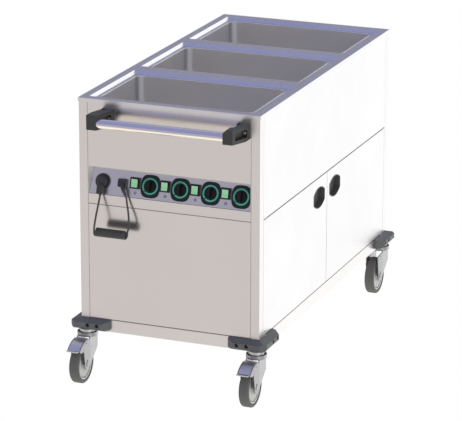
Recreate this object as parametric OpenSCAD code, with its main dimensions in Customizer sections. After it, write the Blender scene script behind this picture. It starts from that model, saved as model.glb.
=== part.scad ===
/* [Deck and wells] */
// Width of the top deck, across the trolley
deck_w = 604; // [598:1:640]
// Length of the top deck
deck_l = 1216; // [1200:1:1280]
// Height of the top deck above the floor
top_h = 920; // [900:1:960]
// Depth of the folded edge of the deck
deck_edge_h = 12; // [11.5:0.5:16]
// Sheet thickness of the deck
deck_sheet = 1.5; // [1:0.1:2]
// Width of the deck beside a pan recess
recess_side = 26; // [24:1:28]
// Width of the deck between two recesses
recess_gap = 54; // [44:1:60]
// Distance from the end of the deck to the nearest recess
recess_end = 29; // [24:1:34]
// Run of the sloped recess side
slope_run = 8; // [5:0.5:9]
// Depth of the recess floor below the deck
slope_drop = 9.5; // [6:0.5:9.5]
// Distance from the side edge of a recess to its well
well_side = 22; // [20:0.5:24]
// Distance from the end edge of a recess to its well
well_end = 23.5; // [21:0.5:25]
// Depth of a well below the recess floor
well_depth = 200; // [120:5:205]
// Radius of the upright corners of a well
well_corner_r = 27; // [20:1:40]
// Radius between the walls and the floor of a well
well_floor_r = 18; // [10:1:25]
// Sheet thickness of a well
well_sheet = 1.2; // [0.8:0.1:1.5]

/* [Body] */
// Overhang of the deck beyond the body
deck_overhang = 2; // [1.9:0.1:4]
// Width of a corner post, seen from the end
post_w = 29; // [26:1:32]
// Depth of a front corner post, seen from the side
post_front_d = 33; // [31:1:36]
// Depth of a rear corner post, seen from the side
post_rear_d = 29; // [26:1:34]
// Wall thickness of the corner posts
post_sheet = 1.5; // [1.2:0.1:2]
// Sheet thickness of the panels
panel_sheet = 1.2; // [0.8:0.1:1.5]
// Depth of the folded edges of the panels
panel_fold = 12; // [8:1:14]
// Distance from the top down to the seam above the doors
divider_drop = 337; // [332:1:345]
// Width of the seams round doors and panels
seam = 1; // [0.6:0.1:2]

/* [Base] */
// Height of a castor, from the floor to the base frame
castor_h = 166; // [163:1:172]
// Height of the base frame
frame_h = 40; // [32:1:46]
// Sheet thickness of the base frame
frame_sheet = 2.5; // [2:0.1:3]
// Width of the inward flange of the base frame
frame_flange = 40; // [30:1:50]
// Distance from the body face to the swivel axis, both ways
swivel_inset = 14; // [12:1:20]

/* [Castors] */
// Radius of a wheel
wheel_r = 62.5; // [58:0.5:64]
// Width of a tyre
tyre_w = 32; // [28:1:33]
// Distance from the swivel axis to the wheel axle
castor_trail = 52; // [46:1:54]
// Radius of the fork crown
crown_r = 33; // [31:1:36]
// Reach of the brake pedal from the swivel axis
pedal_reach = 122; // [119:1:128]

/* [Bumpers] */
// Projection of a corner bumper from the body
bumper_out = 30; // [24:1:36]
// Height of a corner bumper
bumper_h = 32; // [28:1:36]
// Length of the bumper arm on the end face
bumper_arm_end = 100; // [80:1:120]
// Length of the bumper arm on the side face
bumper_arm_side = 117; // [90:1:130]

/* [Control panel] */
// Distance from the top down to the lower edge of the control recess
fascia_drop = 305; // [302:1:310]
// Height of the control recess
fascia_h = 88; // [86:1:92]
// Tilt of the control fascia from upright, degrees
fascia_tilt = 18; // [10:1:20]
// Thickness of the fascia plate
fascia_t = 2; // [1.5:0.1:2.5]
// Radius of the skirt of a knob
knob_r = 19; // [16:0.5:20]
// Height of the rounded control plate behind a knob
bezel_h = 71; // [68:1:74]
// Gap between that plate and the switch beside it
bezel_gap = 2.5; // [2:0.5:6]
// Width of a rocker switch frame
switch_w = 34; // [32:0.5:34.5]
// Height of a rocker switch frame
switch_h = 36; // [34:0.5:38]

/* [Handle] */
// Diameter of the push bar
bar_d = 30; // [25:1:32]
// Distance from the body to the axis of the push bar
bar_out = 72; // [66:1:84]
// Distance from the top down to the axis of the push bar
bar_drop = 56; // [52:1:64]
// Distance from a bracket to the edge of the front panel, at the bar
bar_inset = 62.7; // [56:0.1:70]

/* [Doors] */
// Thickness of a door
door_t = 26; // [22:1:26]
// Width of a recessed door handle
cup_w = 97; // [85:1:105]
// Height of a recessed door handle at its middle
cup_h = 65; // [58:1:72]
// Height of a recessed door handle at its ends
cup_end_h = 31; // [26:1:36]
// Depth of a recessed door handle
cup_depth = 19; // [15:1:20]

/* [Mains lead] */
// Diameter of the mains lead
cord_d = 6; // [5:0.5:6]
// Radius of the curls, measured at the middle of the lead
curl_r = 11.5; // [10:0.5:14]
// Distance between neighbouring curls
curl_pitch = 6.6; // [6.5:0.1:8]

/* [Hidden] */
$fn = 48;

// Overrun of every cut, gap of seated pieces and radial clearance of pins
cut = 1;
gap = 0.3;
fit = 0.05;

// Colours
STEEL = [0.78, 0.77, 0.77];
DECK = [0.62, 0.62, 0.70];
DARK = [0.17, 0.17, 0.18];
WHEEL = [0.78, 0.78, 0.77];
BLACK = [0.09, 0.09, 0.09];
TYRE = [0.35, 0.35, 0.34];
BUMPER = [0.27, 0.28, 0.28];
TEAL = [0.30, 0.63, 0.53];
LENS = [0.58, 0.82, 0.62];

// Body box, seen from above: x is across, y runs from the control end to the rear
body_w = deck_w - 2 * deck_overhang;
post_clear = 2.5;
tray_edge_h = 10;
body_x = body_w / 2;
front_y = deck_overhang;
rear_y = deck_l - deck_overhang;
frame_top = castor_h + frame_h;
side_front_y = front_y + post_front_d;
side_rear_y = rear_y - post_rear_d;
panel_x = body_x - post_w - gap;
panel_top_z = top_h - deck_sheet - gap;
side_z0 = frame_top + gap;
divider_z = top_h - divider_drop;
lower_z1 = divider_z - seam / 2;
upper_z0 = divider_z + seam / 2;
tray_z = upper_z0 + panel_sheet + gap;
tray_notch = 2 * gap + panel_sheet;

// Pan recesses and wells
wells = 3;
recess_w = deck_w - 2 * recess_side;
recess_l = (deck_l - 2 * recess_end - (wells - 1) * recess_gap) / wells;
recess_pitch = recess_l + recess_gap;
well_w = recess_w - 2 * well_side;
well_l = recess_l - 2 * well_end;
recess_floor_z = top_h - slope_drop;
well_top_z = recess_floor_z - deck_sheet;
well_flange = 9;
well_bottom_z = well_top_z - well_depth;
heater_tube_r = 4;
heater_run = 330;
heater_pitch = 52;
heater_bends = 3;

// Castors
swivel_x = body_x - swivel_inset;
swivel_front_y = front_y + swivel_inset;
swivel_rear_y = rear_y - swivel_inset;
plate_t = 3;
plate_in_x = 73;
plate_in_y = 93;
plate_out = 11;
plate_corner_w = 92;
plate_corner_l = 114;
bolt_x = [-60, -4];
bolt_y = [44, 82];
bolt_r = 4;
bolt_head_r = 7;
bolt_head_h = 5;
nut_h = 6;
race_r = 26;
king_r = 6;
king_head_r = 11;
king_head_h = 3.7;
crown_t = 3;
crown_lip_h = 12;
crown_lip_w = 3;
crown_gap = 7;
crown_z = castor_h - plate_t - crown_gap - crown_lip_h;
leg_t = 3;
leg_gap = 3.6;
leg_in = tyre_w / 2 + leg_gap;
leg_boss_r = 19;
leg_over = 16.5;
leg_arc_r = wheel_r + leg_over;
leg_back = 25;
leg_back_z = 100;
leg_low = [[12.2, -14.6], [-19, 0]];
leg_front = [27, 45.5];
leg_arc_from = 110;
leg_arc_to = 80;
leg_end = 19;
axle_r = 6;
axle_head_r = 9;
axle_head_h = 1.5;
collar_r = 9;
collar_gap = 0.1;
hub_r = 16;
hub_out = 1.5;
hub_w = tyre_w + 2 * hub_out;
tyre_t = 12.5;
rim_r = wheel_r - tyre_t;
rim_in = [2, 4, 8];
rim_w = tyre_w - 2 * rim_in[0];
rim_disc_w = tyre_w - 2 * rim_in[1];
rim_groove_w = tyre_w - 2 * rim_in[2];
rim_lip = 4.5;
rim_groove = 3;
tyre_round = 6;
pedal_w = 38;
pedal_t = 2.5;
pedal_over = 17.5;
pedal_r = wheel_r + pedal_over;
pedal_from = -9;
pedal_to = 42;
pedal_pivot = [-5.7, 71.5];
pedal_pin_r = 3;
pedal_cheek_in = 16.8;
pedal_cheek_t = 1.7;
pedal_cheek_r = 9;
pedal_cheek_from = -6;
pedal_cheek_to = 41;
pedal_cheek_low = [[-52.6, 56.8], [-40, 51], [-27.2, 48.3], [-13, 58]];
pedal_tip_z = 61.5;
pedal_tip_t = 3;

// Corner bumpers
bumper_z1 = castor_h + frame_h;
bumper_z0 = bumper_z1 - bumper_h;
bumper_end_out = 10;
bumper_taper = 22;
bumper_chamfer = 18;
bumper_bevel_top = 10;
bumper_bevel_low = 6;
bumper_screw_up = 15;
bumper_screw_z = bumper_z0 + bumper_screw_up;
screw_r = 3;
screw_hole_r = screw_r + gap;
screw_head_r = 5;
screw_head_h = 3;
screw_bore_r = 6.5;
screw_seat = 12;
screw_nut_r = 5;
screw_nut_h = 4;
screw_end_x = [32, 64];
screw_side_y = [46, 84];

// Control recess and fascia
cheek_flare = [9, 3];
fascia_low_z = top_h - fascia_drop;
fascia_high_z = fascia_low_z + fascia_h;
recess_depth = (fascia_high_z - fascia_low_z) * tan(fascia_tilt);
cheek_turn = [for (f = cheek_flare) atan2(recess_depth, f)];
cheek_l = [for (f = cheek_flare) norm([recess_depth, f])];
cheek_foot = 12;
cheek_foot_d = 5;
fascia_v0 = 1.2;
fascia_top_gap = 0.4;
fascia_v1 = fascia_h / cos(fascia_tilt) - fascia_top_gap;
gland_from_edge = 112;
gland_s = 27;
gland_gap = 10.7;
knob_last = 35.7;
switch_shift = 0.75;
row_first = gland_from_edge + gland_s / 2 + gland_gap + switch_w / 2;
knob_pitch = (2 * panel_x - row_first - switch_shift - knob_last) / 3.5;
switch_x = [for (k = [0:3]) row_first - panel_x + k * knob_pitch];
knob_x = [for (x = switch_x) x + knob_pitch / 2 + switch_shift];
bezel_w = 2 * (knob_pitch / 2 + switch_shift - switch_w / 2 - bezel_gap);
bezel_arc_r = 41;
bezel_round = 17;
knob_v = 42;
switch_v = 47;
bezel_t = 3;
dial_margin = 4.2;
dial_ring_w = 4.5;
dial_out_r = bezel_w / 2 - dial_margin;
dial_in_r = dial_out_r - dial_ring_w;
dial_t = 0.8;
dial_sink = 0.5;
dial_offset = 1.2;
dial_break = 5;
knob_lift = 0.4;
knob_skirt_h = 6;
knob_draft = 1;
knob_grip_w = 8.5;
knob_grip_h = 12;
shaft_r = 3;
shaft_l = 14;
shaft_hole_r = 5;
thermostat_s = 34;
thermostat_d = 36;
switch_t = 5;
switch_round = 2;
switch_side = 6.2;
switch_rim = 4;
switch_wall = 1.6;
switch_body_d = 24;
rocker_open_w = switch_w - 2 * switch_side;
rocker_open_h = switch_h - 2 * switch_rim;
switch_body_w = rocker_open_w + 2 * switch_wall;
switch_body_h = rocker_open_h + 2 * switch_wall;
rocker_side = 0.5;
rocker_end = 1.2;
rocker_half = rocker_open_h / 2 - rocker_end;
rocker_tilt = 5;
rocker_h = 9.5;
rocker_dip = 1.2;
rocker_sink = 4;
rocker_axis_n = 1;
rocker_pin_r = 1.5;
rocker_pin_l = 1;
socket_from_edge = 44.7;
socket_x = socket_from_edge - panel_x;
socket_r = 24.5;
socket_t = 4;
socket_body_r = 20;
socket_body_d = 26;
socket_bore_r = 18.6;
socket_bore_d = 14;
socket_pin_x = 9.5;
plug_r = 18.2;
plug_out = 14;
plug_round = 4;
plug_pin_r = 2.4;
plug_pin_l = 10;
plug_neck_w = 23;
plug_neck_v0 = 1.5;
plug_neck_v1 = 30;
plug_neck_n0 = 4.3;
plug_neck_n1 = 23;
plug_neck_round = 5;
plug_exit_n = 12.5;
relief_r0 = 5;
relief_r1 = 4;
relief_l = 4;
gland_x = gland_from_edge - panel_x;
gland_v = 43;
gland_t = 12;
gland_round = 6;
gland_stem_r = 8;
gland_stem_l = 16;
boot_l = 22;
boot_r0 = 6;
boot_r1 = 4;
boot_sink = 5;
boot_lean = 75;
boot_turn = 25;
boot_dx = 2;
boot_dv = -4;

// Push handle: both brackets are the same moulding, set side by side
bar_z = top_h - bar_drop;
bar_shift = 4.5;
bar_x = [bar_inset - panel_x + bar_shift, panel_x - bar_inset + bar_shift];
bar_wall = 1.5;
bar_end = 14;
block_w = 32;
block_d = 34;
block_below = 19;
block_above = 27;
block_ahead = 16;
block_front = bar_out + block_ahead;
block_cut = [12, 11];
bracket_pitch = bar_x[1] - bar_x[0] + block_w;
root_w = 41;
root_t = 9;
root_below = 17;
root_above = 29;
root_out = 56.5;
arm_w = 22;
arm_knee = 22;
arm_knee_below = 22;
slot_from = 14;
slot_l = 60;
slot_below = 9;
slot_h = 24;
slot_d = 12;
handle_screw_in = 12;
handle_screw_x = [for (k = [-1, 0]) bar_x[1] + root_out - handle_screw_in + k * bracket_pitch];
handle_screw_up = 4;
handle_screw_z = bar_z + handle_screw_up;
handle_seat = 18;

// Cupboard and doors
liner_sheet = 1.2;
flange_t = 1.5;
liner_room = [26, 12, 2, 15, 13];
liner_x0 = liner_room[0] - body_x;
liner_x1 = body_x - door_t - liner_room[1];
liner_y0 = side_front_y + liner_room[2];
liner_y1 = side_rear_y - liner_room[2];
liner_z0 = frame_top + liner_room[3];
liner_z1 = divider_z - liner_room[4];
liner_flange_y = 20;
seal_t = 6;
seal_w = 9;
seal_out = 1;
ledge_w = 14;
shelf_z = (frame_top + divider_z) / 2;
shelf_edge = 18;
shelf_back = 6;
shelf_x1 = liner_x1 - shelf_back;
door_z0 = frame_top + seam;
door_z1 = divider_z - seam;
door_y0 = side_front_y + seam;
door_y1 = side_rear_y - seam;
split_y = (side_front_y + side_rear_y) / 2;
door_skin = 1.2;
hinge_in_x = 4;
hinge_in_y = 14;
hinge_x = body_x - hinge_in_x;
hinge_y = [door_y0 + hinge_in_y, door_y1 - hinge_in_y];
hinge_r = 4;
hinge_l = 14;
hinge_foot_r = 7;
hinge_foot_t = 0.5;
hinge_block = 26;
hinge_block_h = 18;
cup_from_split = 74;
cup_y = [split_y - cup_from_split, split_y + cup_from_split];
cup_drop = 68;
cup_z = divider_z - cup_drop;
cup_wall = 1.5;
cup_rim = 2.5;
cup_rim_t = 1;

// Mains lead: hand-set points of the routes, seen from the fascia's lower edge
coil_turns = 15.5;
coil_end_x = 35;
coil_out = 47;
coil_drop = 107;
coil_start = [
    gland_x + coil_end_x - curl_pitch * coil_turns, -coil_out, fascia_low_z - coil_drop
];
coil_rings = 8;
coil_lead_in = 6;
PLUG_HANG = [[20.5, 18], [30, 35], [39, 50], [47.5, 66], [54, 81], [58, 94]];
GLAND_HANG = [
    [37.5, 31, 87], [36.5, 26.5, 71], [34, 22, 56.5], [30.8, 17.5, 42.5],
    [27, 13.5, 28], [23.3, 10.5, 13], [20.3, 8, -1]
];
PLUG_ROUTE = [
    for (i = [0:5]) let (h = PLUG_HANG[i])
        [socket_x + (coil_start[0] - socket_x) * (i + 1) / 6, -h[0], fascia_low_z - h[1]]
];
GLAND_ROUTE = [for (h = GLAND_HANG) [gland_x + h[0], -h[1], fascia_low_z - h[2]]];
plug_exit = fascia_point(socket_x, plug_neck_v0 - relief_l, plug_exit_n);
boot_dir = fascia_dir([
    sin(boot_lean) * sin(boot_turn), -sin(boot_lean) * cos(boot_turn), cos(boot_lean)
]);
boot_end = fascia_point(gland_x + boot_dx, gland_v + boot_dv, gland_t) + boot_l * boot_dir;
COIL_TURNS = [
    for (i = [0:coil_turns * coil_rings]) let (a = 360 * i / coil_rings)
        coil_start + [curl_pitch * i / coil_rings, -curl_r * cos(a), -curl_r * sin(a)]
];
coil_in = COIL_TURNS[0] + [0, 0, coil_lead_in];
coil_last = COIL_TURNS[len(COIL_TURNS) - 1] + [0, 0, coil_lead_in];
COIL_PATH = concat([coil_in], COIL_TURNS, [coil_last]);
PLUG_PATH = concat([plug_exit, plug_exit + cord_d * fascia_dir([0, -1, 0])], PLUG_ROUTE, [coil_in]);
GLAND_PATH = concat([coil_last], GLAND_ROUTE, [boot_end + cord_d * boot_dir, boot_end]);

// The part stands centred on its origin, measured without the lead
origin_y = (swivel_front_y - pedal_reach + rear_y + bumper_out) / 2;
module centred() { translate([0, -origin_y, 0]) children(); }

// Outline helpers
module rounded_rect(w, l, r) {
    square([w - 2 * r, l], center = true);
    square([w, l - 2 * r], center = true);
    for (sx = [-1, 1], sy = [-1, 1])
        translate([sx * (w / 2 - r), sy * (l / 2 - r)]) circle(r);
}

// Turns an outline drawn in y and z into a solid along x, and one in x and z along y
module along_x(l) { rotate([90, 0, 90]) linear_extrude(l, center = true) children(); }
module along_y(l) { rotate([90, 0, 0]) linear_extrude(l, center = true) children(); }

// A funnel with four sloped sides, its mouth at z = 0
module funnel(w, l, run, drop, grow, above) {
    intersection() {
        along_y(l + 2 * grow + 2 * cut) funnel_side(w, run, drop, grow, above);
        along_x(w + 2 * grow + 2 * cut) funnel_side(l, run, drop, grow, above);
    }
}
module funnel_side(w, run, drop, grow, above) {
    h = w / 2 + grow;
    polygon([[-h, above], [h, above], [h, 0], [h - run, -drop - grow], [run - h, -drop - grow], [-h, 0]]);
}

// A drawn basin with upright rounded corners and a rounded floor edge, mouth at z = 0
module basin(w, l, h, r, floor_r, above) {
    intersection() {
        translate([0, 0, -h]) linear_extrude(h + above) rounded_rect(w, l, r);
        along_y(l + 2 * cut) basin_side(w, h, floor_r, above);
        along_x(w + 2 * cut) basin_side(l, h, floor_r, above);
    }
}
module basin_side(w, h, r, above) {
    translate([-w / 2, r - h]) square([w, h - r + above]);
    translate([r - w / 2, -h]) square([w - 2 * r, 2 * r]);
    for (s = [-1, 1]) translate([s * (w / 2 - r), r - h]) circle(r);
}

// A sheet panel with folded edges, lying in x and y, folds downwards, outer face at z = 0
module folded_panel(w, l) {
    difference() {
        translate([-w / 2, -l / 2, -panel_fold]) cube([w, l, panel_fold]);
        translate([panel_sheet - w / 2, panel_sheet - l / 2, -panel_fold - cut])
            cube([w - 2 * panel_sheet, l - 2 * panel_sheet, panel_fold - panel_sheet + cut]);
    }
}

// Top deck with its three pan recesses
function recess_y(k) = recess_end + recess_l / 2 + k * recess_pitch;

module top_deck() {
    color(DECK) difference() {
        union() {
            difference() {
                translate([-deck_w / 2, 0, top_h - deck_edge_h]) cube([deck_w, deck_l, deck_edge_h]);
                translate([deck_sheet - deck_w / 2, deck_sheet, top_h - deck_edge_h - cut])
                    cube([
                        deck_w - 2 * deck_sheet, deck_l - 2 * deck_sheet, deck_edge_h - deck_sheet + cut
                    ]);
            }
            for (k = [0:wells - 1])
                translate([0, recess_y(k), top_h])
                    funnel(recess_w, recess_l, slope_run, slope_drop, deck_sheet, 0);
        }
        for (k = [0:wells - 1])
            translate([0, recess_y(k), top_h]) {
                funnel(recess_w, recess_l, slope_run, slope_drop, 0, cut);
                translate([0, 0, -slope_drop - deck_sheet - cut])
                    linear_extrude(slope_drop + deck_sheet + 2 * cut)
                        rounded_rect(well_w, well_l, well_corner_r);
            }
    }
}

// One drawn well with the flange that carries it under the deck
module well(k) {
    color(STEEL) translate([0, recess_y(k), well_top_z]) difference() {
        union() {
            translate([0, 0, -well_sheet]) linear_extrude(well_sheet)
                rounded_rect(
                    well_w + 2 * well_flange, well_l + 2 * well_flange, well_corner_r + well_flange
                );
            basin(well_w + 2 * well_sheet, well_l + 2 * well_sheet, well_depth,
                well_corner_r + well_sheet, well_floor_r + well_sheet, 0);
        }
        basin(well_w, well_l, well_depth - well_sheet, well_corner_r, well_floor_r, cut);
    }
}

// Serpentine tube heaters: one under each well and one under the cupboard floor
module serpentine() {
    for (i = [0:heater_bends])
        translate([0, (i - heater_bends / 2) * heater_pitch, 0])
            rotate([0, 90, 0]) cylinder(r = heater_tube_r, h = heater_run, center = true);
    for (i = [0:heater_bends - 1])
        translate([(i % 2 == 0 ? 1 : -1) * heater_run / 2, (i + 0.5 - heater_bends / 2) * heater_pitch, 0])
            rotate([0, 0, i % 2 == 0 ? -90 : 90]) rotate_extrude(angle = 180)
                translate([heater_pitch / 2, 0]) circle(heater_tube_r);
}

module heaters() {
    color(DARK) {
        for (k = [0:wells - 1])
            translate([0, recess_y(k), well_bottom_z - gap - heater_tube_r]) serpentine();
        translate([0, split_y, liner_z0 - gap - heater_tube_r]) serpentine();
    }
}

// Places that repeat: the swivel axes and the body corners, each with its inner side mirrored
module at_castors() {
    for (sx = [-1, 1], sy = [0, 1])
        translate([sx * swivel_x, sy == 0 ? swivel_front_y : swivel_rear_y, 0])
            mirror([sx < 0 ? 1 : 0, 0, 0]) mirror([0, sy, 0]) children();
}
module at_corners() {
    for (sx = [-1, 1], sy = [0, 1])
        translate([sx * body_x, sy == 0 ? front_y : rear_y, 0])
            mirror([sx < 0 ? 1 : 0, 0, 0]) mirror([0, sy, 0]) children();
}
module at_bolts() { for (x = bolt_x, y = bolt_y) translate([x, y, 0]) children(); }

// Screw places of one corner bumper, their z axis pointing away from the body
module at_bumper_screws() {
    for (x = screw_end_x) translate([-x, 0, bumper_screw_z]) rotate([90, 0, 0]) children();
    for (y = screw_side_y) translate([0, y, bumper_screw_z]) rotate([0, 90, 0]) children();
}
module at_handle_screws() {
    for (x = handle_screw_x) translate([x, front_y, handle_screw_z]) rotate([90, 0, 0]) children();
}

// Base frame: a channel all round, closed by a floor sheet on top
module base_frame() {
    color(STEEL) difference() {
        translate([-body_x, front_y, castor_h]) cube([body_w, rear_y - front_y, frame_h]);
        translate([frame_sheet - body_x, front_y + frame_sheet, castor_h + frame_sheet])
            cube([body_w - 2 * frame_sheet, rear_y - front_y - 2 * frame_sheet, frame_h - 2 * frame_sheet]);
        difference() {
            translate([frame_flange - body_x, front_y + frame_flange, castor_h - cut])
                cube([
                    body_w - 2 * frame_flange, rear_y - front_y - 2 * frame_flange, frame_sheet + 2 * cut
                ]);
            at_corners() translate([-plate_corner_w, 0, 0])
                cube([plate_corner_w, plate_corner_l, castor_h + frame_h]);
        }
        at_castors() at_bolts()
            translate([0, 0, castor_h - cut]) cylinder(r = bolt_r + gap, h = frame_sheet + 2 * cut);
        at_corners() at_bumper_screws()
            translate([0, 0, -frame_sheet - cut]) cylinder(r = screw_hole_r, h = frame_sheet + 2 * cut);
    }
}

// Castor head: plate, bearing race and king pin
module castor_heads() {
    color(STEEL) at_castors() {
        difference() {
            translate([0, 0, castor_h - plate_t]) {
                translate([-plate_in_x, -plate_out, 0])
                    cube([plate_in_x + plate_out, plate_in_y + plate_out, plate_t]);
                cylinder(r = race_r, h = plate_t);
            }
            at_bolts() translate([0, 0, castor_h - plate_t - cut])
                cylinder(r = bolt_r + gap, h = plate_t + 2 * cut);
        }
        translate([0, 0, crown_z + crown_t + gap])
            cylinder(r = race_r, h = castor_h - plate_t - crown_z - crown_t - gap);
        translate([0, 0, crown_z - gap - king_head_h / 2])
            cylinder(r = king_r, h = castor_h - crown_z - plate_t);
        translate([0, 0, crown_z - gap - king_head_h]) cylinder(r = king_head_r, h = king_head_h);
    }
}

module castor_bolts() {
    color(STEEL) at_castors() at_bolts() {
        translate([0, 0, castor_h - plate_t - bolt_head_h])
            cylinder(r = bolt_head_r, h = bolt_head_h, $fn = 24);
        translate([0, 0, castor_h - plate_t - bolt_head_h / 2])
            cylinder(r = bolt_r, h = bolt_head_h / 2 + plate_t + frame_sheet + nut_h, $fn = 24);
        translate([0, 0, castor_h + frame_sheet]) cylinder(r = bolt_head_r, h = nut_h, $fn = 24);
    }
}

// Moves to one castor, and then to its axle
module at_castor(x, y) { translate([x, y, 0]) children(); }
module at_axle() { translate([0, -castor_trail, wheel_r]) children(); }

// Points on a circle in the y and z plane, angles counted from -y over the top
function arc_yz(r, from, to, step) = [for (a = [from:step:to]) [r * cos(a), r * sin(a)]];
function shift_yz(list, d) = [for (p = list) p + d];

module leg_outline() {
    axle = [-castor_trail, wheel_r];
    translate(axle) circle(leg_boss_r);
    polygon(concat(
        [[leg_back, crown_z + crown_t / 2], [leg_back, leg_back_z]],
        shift_yz(leg_low, axle),
        [[-castor_trail - leg_front[0], wheel_r + leg_front[1]]],
        shift_yz(arc_yz(leg_arc_r, leg_arc_from, leg_arc_to, -6), axle),
        [[leg_end - castor_trail, crown_z + crown_t / 2]]
    ));
}

// Fork with its crown, two legs, axle and, on the braked ones, the pedal pin
module castor_fork(x, y, braked) {
    color(STEEL) at_castor(x, y) {
        difference() {
            union() {
                translate([0, 0, crown_z]) cylinder(r = crown_r, h = crown_lip_h);
                for (s = [-1, 1]) translate([s * (leg_in + leg_t / 2), 0, 0]) along_x(leg_t) leg_outline();
            }
            translate([0, 0, crown_z + crown_t]) cylinder(r = crown_r - crown_lip_w, h = crown_lip_h);
            translate([0, 0, crown_z - cut]) cylinder(r = king_r + fit, h = crown_t + 2 * cut);
        }
        at_axle() {
            along_x(2 * (leg_in + leg_t + axle_head_h)) circle(axle_r);
            for (s = [-1, 1]) {
                translate([s * (leg_in + leg_t + axle_head_h / 2), 0, 0])
                    along_x(axle_head_h) circle(axle_head_r);
                translate([s * (leg_in + hub_w / 2 + collar_gap) / 2, 0, 0])
                    along_x(leg_in - hub_w / 2 - collar_gap) circle(collar_r);
            }
            if (braked)
                translate([0, pedal_pivot[0], pedal_pivot[1]])
                    along_x(2 * leg_in + leg_t) circle(pedal_pin_r);
        }
    }
}

// Wheel: core with hub, web and rim, and the tyre on it
module wheel_core(x, y) {
    color(WHEEL) at_castor(x, y) at_axle() rotate([0, 90, 0]) rotate_extrude() polygon([
        [axle_r + fit, -hub_w / 2], [hub_r, -hub_w / 2], [hub_r, -rim_disc_w / 2],
        [rim_r - rim_lip - rim_groove, -rim_disc_w / 2], [rim_r - rim_lip - rim_groove, -rim_groove_w / 2],
        [rim_r - rim_lip, -rim_groove_w / 2], [rim_r - rim_lip, -rim_w / 2],
        [rim_r - fit, -rim_w / 2], [rim_r - fit, rim_w / 2],
        [rim_r - rim_lip, rim_w / 2], [rim_r - rim_lip, rim_groove_w / 2],
        [rim_r - rim_lip - rim_groove, rim_groove_w / 2], [rim_r - rim_lip - rim_groove, rim_disc_w / 2],
        [hub_r, rim_disc_w / 2], [hub_r, hub_w / 2], [axle_r + fit, hub_w / 2]
    ]);
}

module wheel_tyre(x, y) {
    color(TYRE) at_castor(x, y) at_axle() rotate([0, 90, 0]) rotate_extrude() difference() {
        union() {
            translate([rim_r, -tyre_w / 2]) square([wheel_r - rim_r - tyre_round, tyre_w]);
            translate([rim_r, tyre_round - tyre_w / 2]) square([wheel_r - rim_r, tyre_w - 2 * tyre_round]);
            for (s = [-1, 1])
                translate([wheel_r - tyre_round, s * (tyre_w / 2 - tyre_round)]) circle(tyre_round);
        }
        translate([-wheel_r, -wheel_r]) square([wheel_r + rim_r, 2 * wheel_r]);
    }
}

// Brake pedal: a curved tread over the wheel, held by two cheeks on the pedal pin
module brake_pedal(x, y) {
    color(STEEL) at_castor(x, y) at_axle() {
        along_x(pedal_w) polygon(concat(
            [for (a = [pedal_from:3:pedal_to]) [-pedal_r * sin(a), pedal_r * cos(a)]],
            [for (z = [pedal_tip_z - pedal_tip_t, pedal_tip_z]) [castor_trail - pedal_reach, z]],
            [for (a = [pedal_to:-3:pedal_from])
                [-(pedal_r + pedal_t) * sin(a), (pedal_r + pedal_t) * cos(a)]]
        ));
        for (s = [-1, 1]) translate([s * (pedal_cheek_in + pedal_cheek_t / 2), 0, 0]) along_x(pedal_cheek_t)
            difference() {
                union() {
                    translate(pedal_pivot) circle(pedal_cheek_r);
                    polygon(concat(
                        [for (a = [pedal_cheek_from:4:pedal_cheek_to])
                            [-(pedal_r + pedal_t / 2) * sin(a), (pedal_r + pedal_t / 2) * cos(a)]],
                        pedal_cheek_low, [pedal_pivot + [pedal_cheek_r, 0]]
                    ));
                }
                translate(pedal_pivot) circle(pedal_pin_r + fit);
            }
    }
}

// Corner bumpers with sloped tops and tapered ends
module bumper_side(along) {
    polygon([
        [-along, bumper_z0], [bumper_out - bumper_bevel_low, bumper_z0],
        [bumper_out, bumper_z0 + bumper_bevel_low], [bumper_out, bumper_z1 - bumper_bevel_top],
        [0, bumper_z1], [-along, bumper_z1]
    ]);
}

module corner_bumpers() {
    span = bumper_arm_end + bumper_arm_side;
    color(BUMPER) at_corners() difference() {
        intersection() {
            translate([0, 0, bumper_z0]) linear_extrude(bumper_h) polygon([
                [0, 0], [-bumper_arm_end, 0], [-bumper_arm_end, -bumper_end_out],
                [bumper_taper - bumper_arm_end, -bumper_out], [bumper_out - bumper_chamfer, -bumper_out],
                [bumper_out, bumper_chamfer - bumper_out], [bumper_out, bumper_arm_side - bumper_taper],
                [bumper_end_out, bumper_arm_side], [0, bumper_arm_side]
            ]);
            along_y(2 * span) bumper_side(span);
            mirror([0, 1, 0]) along_x(2 * span) bumper_side(span);
        }
        at_bumper_screws() {
            translate([0, 0, -cut]) cylinder(r = screw_hole_r, h = bumper_out);
            translate([0, 0, screw_seat]) cylinder(r = screw_bore_r, h = bumper_out);
        }
    }
}

// Screws of the bumpers and of the handle brackets, each with its nut inside
module screw(seat, sheet) {
    translate([0, 0, seat]) cylinder(r = screw_head_r, h = screw_head_h, $fn = 24);
    translate([0, 0, -sheet - screw_nut_h / 2])
        cylinder(r = screw_r, h = seat + sheet + screw_nut_h / 2 + screw_head_h / 2, $fn = 24);
    translate([0, 0, -sheet - screw_nut_h]) cylinder(r = screw_nut_r, h = screw_nut_h, $fn = 24);
}

module body_screws() {
    color(STEEL) {
        at_corners() at_bumper_screws() screw(screw_seat, frame_sheet);
        at_handle_screws() screw(handle_seat, panel_sheet);
    }
}

// Corner posts, let in under the pan recesses
module corner_posts() {
    color(STEEL) difference() {
        for (sx = [-1, 1], sy = [0, 1]) {
            d = sy == 0 ? post_front_d : post_rear_d;
            translate([sx * (body_x - post_w / 2), sy == 0 ? front_y + d / 2 : rear_y - d / 2, frame_top])
                linear_extrude(panel_top_z - frame_top) difference() {
                    square([post_w, d], center = true);
                    square([post_w - 2 * post_sheet, d - 2 * post_sheet], center = true);
                }
        }
        translate([-recess_w / 2 - post_clear, recess_end - post_clear, well_top_z - post_clear])
            cube([
                recess_w + 2 * post_clear, deck_l - 2 * recess_end + 2 * post_clear, deck_edge_h + post_clear
            ]);
    }
}

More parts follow.
